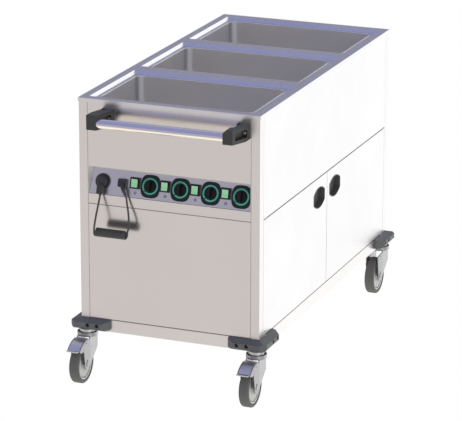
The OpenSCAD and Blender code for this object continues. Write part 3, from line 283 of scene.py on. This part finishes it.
def add_well_lips():
    """The rolled edge of each pan opening."""
    for k, yc in enumerate(RECESS_Y):
        route = []
        for sx, sy, start in ((1, 1, 0), (-1, 1, 90), (-1, -1, 180), (1, -1, 270)):
            for step in range(CORNER_STEPS + 1):
                a = math.radians(start + 90 * step / CORNER_STEPS)
                route.append(place(
                    sx * (LIP_HALF_W - LIP_CORNER) + LIP_CORNER * math.cos(a),
                    yc + sy * (LIP_HALF_L - LIP_CORNER) + LIP_CORNER * math.sin(a), LIP_Z,
                ))
        lip = add_tube("well_lip_%d" % (k + 1), route, LIP_R, resolution=3, closed=True)


def add_switch_marks():
    """A small printed ring and dot under each switch."""
    normal, side = fascia_dir(0, 0, 1), Vector((1, 0, 0))
    low, high = PRINT_LIFT, MARK_T
    ring = [(2.9, low), (4.7, low), (4.7, high), (2.8, high)]
    dot = [(AXIS_R, low), (1.7, low), (1.7, high), (AXIS_R, high)]
    for k, x in enumerate(SWITCH_X):
        bm = bmesh.new()
        centre = fascia_point(x + MARK_SHIFT, MARK_V, 0)
        add_lathe(bm, centre, normal, side, ring, 28)
        add_lathe(bm, centre, normal, side, dot, 20)
        add_mesh("switch_mark_%d" % (k + 1), bm, "trolley_body")


def add_knob_plates():
    """Barrel-shaped plates with rounded edges, wider at their corners than the solids."""
    steps = 72
    edge = [(0.0, 0.05), (0.0, 2.2), (0.3, 2.75), (0.9, PLATE_T)]
    bm = bmesh.new()
    outline = []
    for k in range(steps):
        c, s = math.cos(2 * math.pi * k / steps), math.sin(2 * math.pi * k / steps)
        reach = (abs(c) ** PLATE_SQUARENESS + abs(s) ** PLATE_SQUARENESS) ** (-1 / PLATE_SQUARENESS)
        outline.append((reach * c, reach * s))
    for x in KNOB_X:
        rings = []
        for inset, n in edge:
            half_w, half_h = PLATE_W / 2 - inset, PLATE_H / 2 - inset
            rings.append([
                place(*fascia_point(x + half_w * u, KNOB_V + half_h * v, n)) for u, v in outline
            ])
        loft(bm, rings)
    plates = add_mesh("control_plates", bm, "trolley_body")
    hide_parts("knob_plates")


def add_dial_rings():
    """Printed rings round the knobs, broken at the lower left."""
    steps = 90
    low, high = PLATE_T + PRINT_LIFT, PLATE_T + RING_T
    section = ((RING_R[0], low), (RING_R[1], low), (RING_R[1], high), (RING_R[0], high))
    bm = bmesh.new()
    for x in KNOB_X:
        sections = []
        for k in range(steps + 1):
            a = RING_FROM + RING_SWEEP * k / steps
            u, v = math.cos(a), math.sin(a)
            sections.append([place(*fascia_point(x + r * u, KNOB_V + r * v, n)) for r, n in section])
        loft(bm, sections)
    rings = add_mesh("printed_rings", bm, "trolley_body")
    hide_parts("dial_rings")


def add_bracket_shade_fill():
    """A dark piece from the left bracket's block back to the panel, which stands in for the shade
    there: painted shade.
    """
    (left, right), (front, back), (low, high) = BRACKET_X, SHADE_FILL_Y, SHADE_FILL_Z
    proud = SHADE_FILL_PROUD
    outline = [
        (left - proud, front - proud), (right + proud, front - proud), (right + proud, back),
        (right - 8, back), (left + 32, 1.8), (left + 15.5, 1.8), (left - proud, back),
    ]
    bm = bmesh.new()
    loft(bm, [[place(x, y, z) for x, y in outline] for z in (low, high)])
    top = [e for e in bm.edges if all(abs(v.co.z - high * MM) < 1e-6 for v in e.verts)]
    bmesh.ops.bevel(
        bm, geom=top, offset=SHADE_FILL_ROUND * MM, segments=3, affect="EDGES", profile=0.5,
    )
    add_mesh("bracket_shade_fill", bm, "trolley_body")


def add_castor_details():
    """The wings of the braked forks, and on all forks the legs' rivets and dark strips of painted
    shade by the legs.

    The outlines hold (y, z) points in mm, with y from the axis of the swivel.
    """
    wing = [
        (-38, 141), (-52, 145), (-66.5, 144), (-80.5, 140), (-94, 133.5), (-105.5, 124.5),
        (-108, 117), (-100, 113.5), (-88, 112), (-70, 112), (-60, 125),
    ]
    # Dark strips beside each leg's front edge: painted shade of the gap between the leg and the
    # wheel.
    shade_strip = [(-88, 114), (-76, 110), (-70, 64), (-80, 69)]
    for castor, (x, y) in CASTORS.items():
        body = "swivel_" + castor
        if castor in BRAKED:
            bm = bmesh.new()
            for s in (-1, 1):
                add_prism(bm, [(y + a, z) for a, z in wing], x + s * WING_X[0], x + s * WING_X[1])
            add_mesh("fork_wing_" + castor, bm, body)
        bm = bmesh.new()
        for s in (-1, 1):
            add_prism(bm, [(y + a, z) for a, z in shade_strip], x + s * SHADE_STRIP_X[0], x + s * SHADE_STRIP_X[1])
        add_mesh("fork_shade_strip_" + castor, bm, body)
        bm = bmesh.new()
        for s in (-1, 1):
            for ahead, z, size in RIVETS:
                centre = Vector((x + s * LEG_OUT, y - ahead, z))
                head = [(AXIS_R, -0.3), (2.6 * size, -0.3), (2.4 * size, 0.5), (AXIS_R, 1.0)]
                add_lathe(bm, centre, Vector((s, 0, 0)), Vector((0, 1, 0)), head, 16)
        add_mesh("fork_rivet_" + castor, bm, body, True)


def add_strain_relief():
    """A ribbed sleeve that tapers over the start of the lead, below the gland."""
    start, along = boot_line()
    knots = [start, start + BOOT_L / 2 * along, start + BOOT_L * along]
    knots += [Vector(p) for p in reversed(GLAND_ROUTE)][:2]
    line = smooth(knots, SLEEVE_STEP)
    reach, path = 0.0, [(line[0], 0.0)]
    for a, b in zip(line, line[1:]):
        reach += (b - a).length
        if reach > SLEEVE_L:
            break
        path.append((b, reach))
    steps = 24
    rings = []
    for k, (centre, reach) in enumerate(path):
        ahead = (path[min(k + 1, len(path) - 1)][0] - path[max(k - 1, 0)][0]).normalized()
        side = ahead.cross(Vector((0, 1, 0))).normalized()
        other = ahead.cross(side)
        radius = SLEEVE_R[0] + (SLEEVE_R[1] - SLEEVE_R[0]) * reach / SLEEVE_L
        radius += SLEEVE_RIB if k % 3 == 1 else 0.0
        turns = [2 * math.pi * i / steps for i in range(steps)]
        rings.append([
            place(*(centre + radius * (math.cos(a) * side + math.sin(a) * other))) for a in turns
        ])
    bm = bmesh.new()
    loft(bm, rings)
    add_mesh("strain_relief", bm, "trolley_body", True)


# Materials: colours, the grain of brushed sheet per metre, and lengths in metres
SHEET = (0.78, 0.76, 0.75)
# FRONT_SHEET is SHEET made a little darker for the upper front sheet: painted shade.
FRONT_SHEET = (0.765, 0.745, 0.73)
SIDE_SHEET = (0.80, 0.79, 0.79)
WELL_SHEET = (0.86, 0.85, 0.84)
TUBE_STEEL = (0.80, 0.79, 0.80)
ALONG_X = (4.0, 1400.0, 1400.0)
ALONG_Y = (1400.0, 4.0, 1400.0)
ALONG_Z = (1400.0, 1400.0, 4.0)
EDGE = 0.0008
GRAIN_STRENGTH, GRAIN_DEPTH = 0.03, 0.00002
NOISE_ROUGHNESS = 0.55
BEVEL_SAMPLES = 4
WEAR = 0.10
RIM_LIP = (0.0435, 0.0445)
RIM_GROOVE = (0.0422, 0.0448)


class Shader:
    """A Principled material whose parts are added one node at a time."""

    def __init__(self, name, colour, roughness, metallic=0.0, **sockets):
        self.mat = bpy.data.materials.new(name)
        self.mat.use_nodes = True
        self.mat.diffuse_color = (*colour, 1)
        self.tree = self.mat.node_tree
        self.bsdf = self.tree.nodes["Principled BSDF"]
        self.set(**{"Base Color": (*colour, 1), "Roughness": roughness, "Metallic": metallic})
        self.set(**sockets)
        self.coord = self.tree.nodes.new("ShaderNodeTexCoord").outputs["Object"]

    def set(self, **sockets):
        for key, value in sockets.items():
            self.bsdf.inputs[key.replace("_", " ")].default_value = value

    def link(self, a, b):
        self.tree.links.new(a, b)

    def noise(self, scale, detail):
        """Noise of the given scale per metre: one number, or three for a drawn-out grain."""
        mapping = self.tree.nodes.new("ShaderNodeMapping")
        even = isinstance(scale, (int, float))
        mapping.inputs["Scale"].default_value = (scale,) * 3 if even else scale
        self.link(self.coord, mapping.inputs["Vector"])
        node = self.tree.nodes.new("ShaderNodeTexNoise")
        node.inputs["Scale"].default_value = 1.0
        node.inputs["Detail"].default_value = detail
        node.inputs["Roughness"].default_value = NOISE_ROUGHNESS
        self.link(mapping.outputs["Vector"], node.inputs["Vector"])
        return node.outputs["Fac"]

    def spread(self, value, low, high, smooth_edge=False, start=0.3, end=0.7):
        """From low to high as the value goes from start to end."""
        node = self.tree.nodes.new("ShaderNodeMapRange")
        node.interpolation_type = "SMOOTHSTEP" if smooth_edge else "LINEAR"
        node.inputs["From Min"].default_value = start
        node.inputs["From Max"].default_value = end
        node.inputs["To Min"].default_value = low
        node.inputs["To Max"].default_value = high
        self.link(value, node.inputs["Value"])
        return node.outputs["Result"]

    def mix(self, factor, a, b):
        """Colour a where factor is 0 and colour b where it is 1."""
        node = self.tree.nodes.new("ShaderNodeMix")
        node.data_type = "RGBA"
        for name, value in (("A", a), ("B", b)):
            socket = [s for s in node.inputs if s.name == name and s.type == "RGBA"][0]
            if isinstance(value, tuple):
                socket.default_value = (*value, 1)
            else:
                self.link(value, socket)
        share = [s for s in node.inputs if s.name == "Factor" and s.type == "VALUE"][0]
        self.link(factor, share)
        return [s for s in node.outputs if s.type == "RGBA"][0]

    def math(self, operation, a, b=0.0):
        node = self.tree.nodes.new("ShaderNodeMath")
        node.operation = operation
        for socket, value in zip(node.inputs, (a, b)):
            if isinstance(value, (int, float)):
                socket.default_value = value
            else:
                self.link(value, socket)
        return node.outputs[0]

    def axis(self, index):
        """One coordinate of the point, in metres in the row frame."""
        node = self.tree.nodes.new("ShaderNodeSeparateXYZ")
        self.link(self.coord, node.inputs[0])
        return node.outputs[index]

    def between(self, value, low, high):
        """1 where the value is between low and high, and 0 elsewhere."""
        above = self.math("GREATER_THAN", value, low)
        return self.math("MULTIPLY", above, self.math("LESS_THAN", value, high))

    def distance(self, centre, weights):
        """How far the point is from a centre, along the axes whose weight is 1."""
        offset = self.tree.nodes.new("ShaderNodeVectorMath")
        offset.operation = "SUBTRACT"
        self.link(self.coord, offset.inputs[0])
        offset.inputs[1].default_value = centre
        flat = self.tree.nodes.new("ShaderNodeVectorMath")
        flat.operation = "MULTIPLY"
        self.link(offset.outputs[0], flat.inputs[0])
        flat.inputs[1].default_value = weights
        length = self.tree.nodes.new("ShaderNodeVectorMath")
        length.operation = "LENGTH"
        self.link(flat.outputs[0], length.inputs[0])
        return length.outputs["Value"]

    def facing(self, direction):
        """How squarely the surface faces a direction of its own piece, from -1 to 1."""
        node = self.tree.nodes.new("ShaderNodeVectorMath")
        node.operation = "DOT_PRODUCT"
        normal = self.tree.nodes.new("ShaderNodeTexCoord").outputs["Normal"]
        self.link(normal, node.inputs[0])
        node.inputs[1].default_value = direction
        return node.outputs["Value"]

    def relief(self, height, strength, distance, radius):
        """Bump from a height, over edges that the bevel node rounds by radius metres."""
        bump = self.tree.nodes.new("ShaderNodeBump")
        bump.inputs["Strength"].default_value = strength
        bump.inputs["Distance"].default_value = distance
        self.link(height, bump.inputs["Height"])
        if radius:
            bevel = self.tree.nodes.new("ShaderNodeBevel")
            bevel.samples = BEVEL_SAMPLES
            bevel.inputs["Radius"].default_value = radius
            self.link(bevel.outputs["Normal"], bump.inputs["Normal"])
        self.link(bump.outputs["Normal"], self.bsdf.inputs["Normal"])
        return self

    def paint(self, colour, roughness):
        self.link(colour, self.bsdf.inputs["Base Color"])
        self.link(roughness, self.bsdf.inputs["Roughness"])
        return self


def shade(colour, factor):
    return tuple(min(1.0, c * factor) for c in colour)


def steel(name, colour, roughness, grain, smudge, radius=EDGE, lines=()):
    """Brushed sheet: grain drawn out along one axis, faint cloudy smudges, rounded edges.

    lines holds (axis, low, high, share of the colour) in mm of part.scad: shadowed joints.
    """
    s = Shader(name, colour, roughness, 1.0)
    grains = s.noise(grain, detail=4.0)
    clouds = s.noise(5.0, detail=2.0)
    tone = s.mix(s.spread(clouds, 0, 1), shade(colour, 1 - smudge), shade(colour, 1 + smudge))
    for index, low, high, share in lines:
        shift = ORIGIN_Y if index == 1 else 0
        line = s.between(s.axis(index), (low - shift) * MM, (high - shift) * MM)
        tone = s.mix(line, tone, shade(colour, share))
    s.paint(colour=tone, roughness=s.spread(grains, roughness * 0.92, roughness * 1.08))
    return s.relief(grains, GRAIN_STRENGTH, GRAIN_DEPTH, radius)


def plastic(name, colour, roughness, radius=EDGE, grain=1800.0, **sockets):
    """Moulded plastic with a fine spark-eroded skin and slightly uneven colour."""
    s = Shader(name, colour, roughness, **sockets)
    skin = s.noise(grain, detail=2.0)
    clouds = s.noise(14.0, detail=3.0)
    tone = s.mix(s.spread(clouds, 0, 1), shade(colour, 1 - WEAR), shade(colour, 1 + WEAR))
    s.paint(colour=tone, roughness=s.spread(skin, roughness * 0.9, roughness * 1.1))
    return s.relief(skin, 0.25, 0.00008, radius)


def fork_zinc(castor):
    """Zinc plate that is darker ahead of the crease in the fork's legs, as painted shade."""
    y = CASTORS[castor][1]
    # The darker front colour is painted shade, standing for the leg's front part beyond the fold.
    rear, front = (0.46, 0.46, 0.465), (0.38, 0.38, 0.385)
    s = Shader("zinc_fork_" + castor, rear, 0.36, 1.0)
    clouds = s.noise(60.0, detail=3.0)
    crease_y = (y - 34 - ORIGIN_Y) * MM, (y - 28 - ORIGIN_Y) * MM
    crease = s.spread(s.axis(1), 0, 1, True, *crease_y)
    tone = s.mix(crease, front, rear)
    s.paint(
        colour=s.mix(s.spread(clouds, 0, 0.5), tone, shade(rear, 0.9)),
        roughness=s.spread(clouds, 0.32, 0.40),
    )
    return s.relief(clouds, 0.08, 0.00005, 0.001)


def wheel_plastic(castor):
    """Grey wheel core with a dark groove and a paler rim lip, in moulded plastic."""
    core, rim = (0.60, 0.60, 0.59), (0.86, 0.86, 0.85)
    x, y = CASTORS[castor]
    s = Shader("wheel_core_" + castor, core, 0.45)
    skin = s.noise(1500.0, detail=2.0)
    radius = s.distance(place(x, y - CASTOR_TRAIL, WHEEL_R), (0, 1, 1))
    tone = s.mix(s.spread(radius, 0, 1, False, *RIM_LIP), core, rim)
    s.paint(
        colour=s.mix(s.between(radius, *RIM_GROOVE), tone, (0.12, 0.12, 0.12)),
        roughness=s.spread(skin, 0.40, 0.50),
    )
    return s.relief(skin, 0.2, 0.00006, EDGE)


def polished_tube():
    """Bar with painted reflections: a violet cast on its upper side and a cream one underneath."""
    s = Shader("polished_tube", TUBE_STEEL, 0.16, 1.0)
    grains = s.noise(ALONG_X, detail=4.0)
    # Painted reflections: violet where the bar faces up, cream where it faces down.
    height = s.facing((0, 0, 1))
    upper = s.spread(height, 0, 1, True, 0.30, 0.50)
    lower = s.spread(height, 1, 0, True, -0.30, -0.05)
    tone = s.mix(upper, (0.56, 0.55, 0.70), TUBE_STEEL)
    s.paint(
        colour=s.mix(lower, tone, (0.86, 0.81, 0.75)),
        roughness=s.spread(grains, 0.147, 0.173),
    )
    return s.relief(grains, GRAIN_STRENGTH, GRAIN_DEPTH, EDGE)


def upper_front():
    """The upper front sheet: duller where the cheek beside the controls turns inwards, and paler
    there with a painted highlight.
    """
    s = steel("brushed_front_upper", FRONT_SHEET, 0.21, ALONG_X, smudge=0.012)
    cheek = s.spread(s.facing((1, 0, 0)), 0, 1, True, 0.4, 0.8)
    dull = s.math("ADD", s.math("MULTIPLY", cheek, 0.4), 0.21)
    # Near white where the cheek faces sideways: painted highlight.
    return s.paint(colour=s.mix(cheek, FRONT_SHEET, (1.0, 1.0, 0.98)), roughness=dull)


def drawn_well():
    """Drawn steel, with painted shade and then a painted highlight round the corner where the left
    wall meets the back.
    """
    s = Shader("drawn_well", WELL_SHEET, 0.36, 1.0)
    grains = s.noise((60.0, 60.0, 60.0), detail=4.0)
    # Painted shade, then a painted highlight, on the faces round that corner.
    shadow = s.spread(s.facing((0.906, -0.423, 0)), 0, 1, True, 0.93, 0.99)
    gleam = s.spread(s.facing((0.5, -0.866, 0)), 0, 1, True, 0.95, 0.99)
    tone = s.mix(shadow, WELL_SHEET, (0.62, 0.61, 0.60))
    s.paint(colour=s.mix(gleam, tone, (1.0, 1.0, 1.0)), roughness=s.spread(grains, 0.33, 0.39))
    return s.relief(grains, GRAIN_STRENGTH, GRAIN_DEPTH, EDGE)


def rocker_lens():
    """Translucent green on the rocker's face, and a black body below it."""
    s = Shader("rocker_lens", (0.40, 0.84, 0.46), 0.22)
    skin = s.noise(700.0, detail=2.0)
    face = s.spread(s.facing(fascia_dir(0, 0, 1)), 0, 1, False, 0.90, 0.94)
    lens = s.mix(s.spread(skin, 0, 1), (0.36, 0.80, 0.42), (0.44, 0.88, 0.50))
    s.paint(colour=s.mix(face, (0.015, 0.03, 0.018), lens), roughness=s.spread(skin, 0.18, 0.30))
    return s.relief(skin, 0.1, 0.00005, 0.0005)


def dress(material, *names):
    for name in names:
        obj = NODES.get(name) or bpy.data.objects[name]
        obj.data.materials.clear()
        obj.data.materials.append(material.mat)


def dress_sheets():
    """Brushed sheet, with the shadowed joints beside the panels as lines."""
    lower = steel("brushed_front_lower", SHEET, 0.21, ALONG_X, smudge=0.012, lines=[
        (2, 580.6, 582.2, 0.5), (2, 205, 208.2, 0.35),
    ])
    posts = steel("brushed_posts", SHEET, 0.28, ALONG_Z, smudge=0.012, lines=[
        (0, -272.2, -270.6, 0.45), (0, 270.6, 272.2, 0.45),
        (1, 33.6, 35.2, 0.75), (1, 1185, 1186.5, 0.75),
    ])
    body = steel("brushed_body", SHEET, 0.30, ALONG_X, smudge=0.02)
    base = steel("brushed_base", (0.79, 0.77, 0.76), 0.30, ALONG_X, smudge=0.02, lines=[
        (2, 204.6, 206.6, 0.30),
    ])
    side = steel("brushed_side", SIDE_SHEET, 0.32, ALONG_Y, smudge=0.02)
    upper = steel("brushed_side_upper", SIDE_SHEET, 0.32, ALONG_Y, smudge=0.02, lines=[
        (2, 582, 585.2, 0.22),
    ])
    doors = steel("brushed_doors", SIDE_SHEET, 0.32, ALONG_Y, smudge=0.02, lines=[
        (2, 580.8, 584, 0.22), (2, 205, 208.6, 0.35), (1, 608.8, 611.2, 0.7),
    ])
    # The deck's faint blue tint is painted reflection of the sky above it.
    deck = steel("brushed_deck", (0.76, 0.76, 0.79), 0.26, ALONG_Y, smudge=0.03)
    # The fascia is painted darker and bluer than the other sheets: painted shade and painted sky
    # reflection on its upward tilt.
    panel = steel("brushed_fascia", (0.60, 0.595, 0.62), 0.30, ALONG_X, smudge=0.02)
    dress(upper_front(), "front_panel_upper")
    dress(lower, "front_panel_lower")
    dress(posts, "corner_posts")
    dress(body, "rear_panel")
    dress(base, "base_frame")
    dress(side, "left_panel", "component_tray", "cupboard_liner", "shelf")
    dress(upper, "right_panel_upper")
    dress(doors, "door_front", "door_rear")
    dress(deck, "top_deck")
    dress(drawn_well(), "well_1", "well_2", "well_3")
    dress(panel, "control_fascia")


def dress_metal_parts():
    lip = steel("rolled_lip", (0.86, 0.86, 0.87), 0.2, (30.0, 30.0, 30.0), smudge=0.02, radius=0)
    zinc = steel("zinc_plate", (0.74, 0.74, 0.75), 0.34, (120.0, 120.0, 120.0), smudge=0.06)
    heater = steel("heater_sheath", (0.35, 0.33, 0.32), 0.5, (40.0, 40.0, 40.0), smudge=0.2)
    dress(lip, *["well_lip_%d" % k for k in (1, 2, 3)])
    dress(polished_tube(), "handle_bar")
    dress(heater, "heaters")
    dress(
        zinc, "castor_heads", "castor_bolts", "hinge_pins", "body_screws",
        *["brake_pedal_" + castor for castor in BRAKED],
    )
    for castor in CASTORS:
        wings = ["fork_wing_" + castor] if castor in BRAKED else []
        dress(fork_zinc(castor), "castor_fork_" + castor, *wings)
        dress(wheel_plastic(castor), "castor_core_" + castor)


def dress_mouldings(lead):
    dark = plastic("dark_moulding", (0.033, 0.034, 0.036), 0.42)
    black = plastic("black_moulding", (0.012, 0.012, 0.013), 0.35)
    bumper = plastic("bumper_moulding", (0.125, 0.13, 0.13), 0.5, radius=0.002, grain=900.0)
    tyre = plastic("tyre_rubber", (0.13, 0.13, 0.125), 0.7, grain=1200.0)
    seal = plastic("seal_rubber", (0.02, 0.02, 0.02), 0.7)
    plate = plastic(
        "plate_moulding", (0.003, 0.013, 0.012), 0.50, radius=0, Specular_IOR_Level=0.35,
    )
    grip = plastic("knob_moulding", (0.005, 0.005, 0.005), 0.50, Specular_IOR_Level=0.3)
    teal = plastic("dial_print", (0.085, 0.47, 0.35), 0.4, radius=0)
    sheath = plastic("lead_sheath", (0.07, 0.069, 0.067), 0.42)
    marks = plastic("switch_print", (0.13, 0.13, 0.155), 0.45, radius=0)
    cup = plastic("cup_moulding", (0.10, 0.10, 0.105), 0.45)
    # The dark strips by the fork legs and the dark fill at the left bracket, dressed here, are
    # painted shade.
    dress(
        dark, "handle_brackets", "bracket_shade_fill", "parking_socket", "plug", "cable_gland",
        "strain_relief", *["fork_shade_strip_" + c for c in CASTORS],
        *["fork_rivet_" + c for c in CASTORS],
    )
    dress(black, "switch_frames", "thermostats")
    dress(grip, *["knob_%d" % (k + 1) for k in range(len(KNOB_X))])
    dress(plate, "knob_plates", "control_plates")
    dress(bumper, "corner_bumpers")
    dress(cup, "door_cup_front", "door_cup_rear")
    dress(tyre, *["castor_tyre_" + c for c in CASTORS])
    dress(seal, "door_seal")
    dress(teal, "dial_rings", "printed_rings")
    dress(marks, *["switch_mark_%d" % (k + 1) for k in range(len(SWITCH_X))])
    dress(rocker_lens(), *["rocker_%d" % (k + 1) for k in range(len(SWITCH_X))])
    dress(sheath, lead.name, *CORD_NODES)


# Light: a sky with soft lobes, each with its direction, colour, and the degrees within which it
# is full and beyond which it is gone. The camera itself sees white, as in the photograph.
SKY = (0.60, 0.60, 0.62)
WHITE = (1, 1, 1, 1)
LOBES = [
    ((-0.35, -0.89, -0.29), (0.745, 0.70, 0.685), 28, 62),
    ((0.35, 0.89, -0.29), (1.25, 1.25, 1.25), 25, 55),
    ((-0.35, 0.89, 0.29), (0.32, 0.32, 0.41), 18, 38),
    ((0.35, 0.89, 0.30), (1.30, 1.30, 1.32), 12, 30),
    ((-0.35, -0.40, 0.85), (0.32, 0.34, 0.58), 30, 54),
    ((-0.10, -0.20, -0.97), (1.15, 1.12, 1.02), 25, 55),
    ((0.79, -0.60, 0.07), (1.25, 1.25, 1.25), 14, 30),
]


def add_world():
    world = bpy.data.worlds.new("studio")
    bpy.context.scene.world = world
    world.use_nodes = True
    tree = world.node_tree
    tree.nodes.clear()
    coord = tree.nodes.new("ShaderNodeTexCoord").outputs["Generated"]
    colour = tree.nodes.new("ShaderNodeRGB")
    colour.outputs[0].default_value = (*SKY, 1)
    last = colour.outputs[0]
    for direction, tint, inner, outer in LOBES:
        dot = tree.nodes.new("ShaderNodeVectorMath")
        dot.operation = "DOT_PRODUCT"
        tree.links.new(coord, dot.inputs[0])
        dot.inputs[1].default_value = Vector(direction).normalized()
        edge = tree.nodes.new("ShaderNodeMapRange")
        edge.interpolation_type = "SMOOTHSTEP"
        edge.inputs["From Min"].default_value = math.cos(math.radians(outer))
        edge.inputs["From Max"].default_value = math.cos(math.radians(inner))
        tree.links.new(dot.outputs["Value"], edge.inputs["Value"])
        mix = tree.nodes.new("ShaderNodeMix")
        mix.data_type = "RGBA"
        sockets = [s for s in mix.inputs if s.type == "RGBA"]
        tree.links.new(last, sockets[0])
        sockets[1].default_value = (*tint, 1)
        tree.links.new(edge.outputs["Result"], mix.inputs[0])
        last = [s for s in mix.outputs if s.type == "RGBA"][0]
    light = tree.nodes.new("ShaderNodeBackground")
    tree.links.new(last, light.inputs["Color"])
    white = tree.nodes.new("ShaderNodeBackground")
    white.inputs["Color"].default_value = WHITE
    choose = tree.nodes.new("ShaderNodeMixShader")
    path = tree.nodes.new("ShaderNodeLightPath")
    tree.links.new(path.outputs["Is Camera Ray"], choose.inputs[0])
    tree.links.new(light.outputs[0], choose.inputs[1])
    tree.links.new(white.outputs[0], choose.inputs[2])
    out = tree.nodes.new("ShaderNodeOutputWorld")
    tree.links.new(choose.outputs[0], out.inputs["Surface"])


bpy.context.scene.view_settings.view_transform = "Standard"
add_camera()
mains_lead = add_lead()
add_well_lips()
add_switch_marks()
add_knob_plates()
add_dial_rings()
add_bracket_shade_fill()
add_castor_details()
add_strain_relief()
dress_sheets()
dress_metal_parts()
dress_mouldings(mains_lead)
add_world()
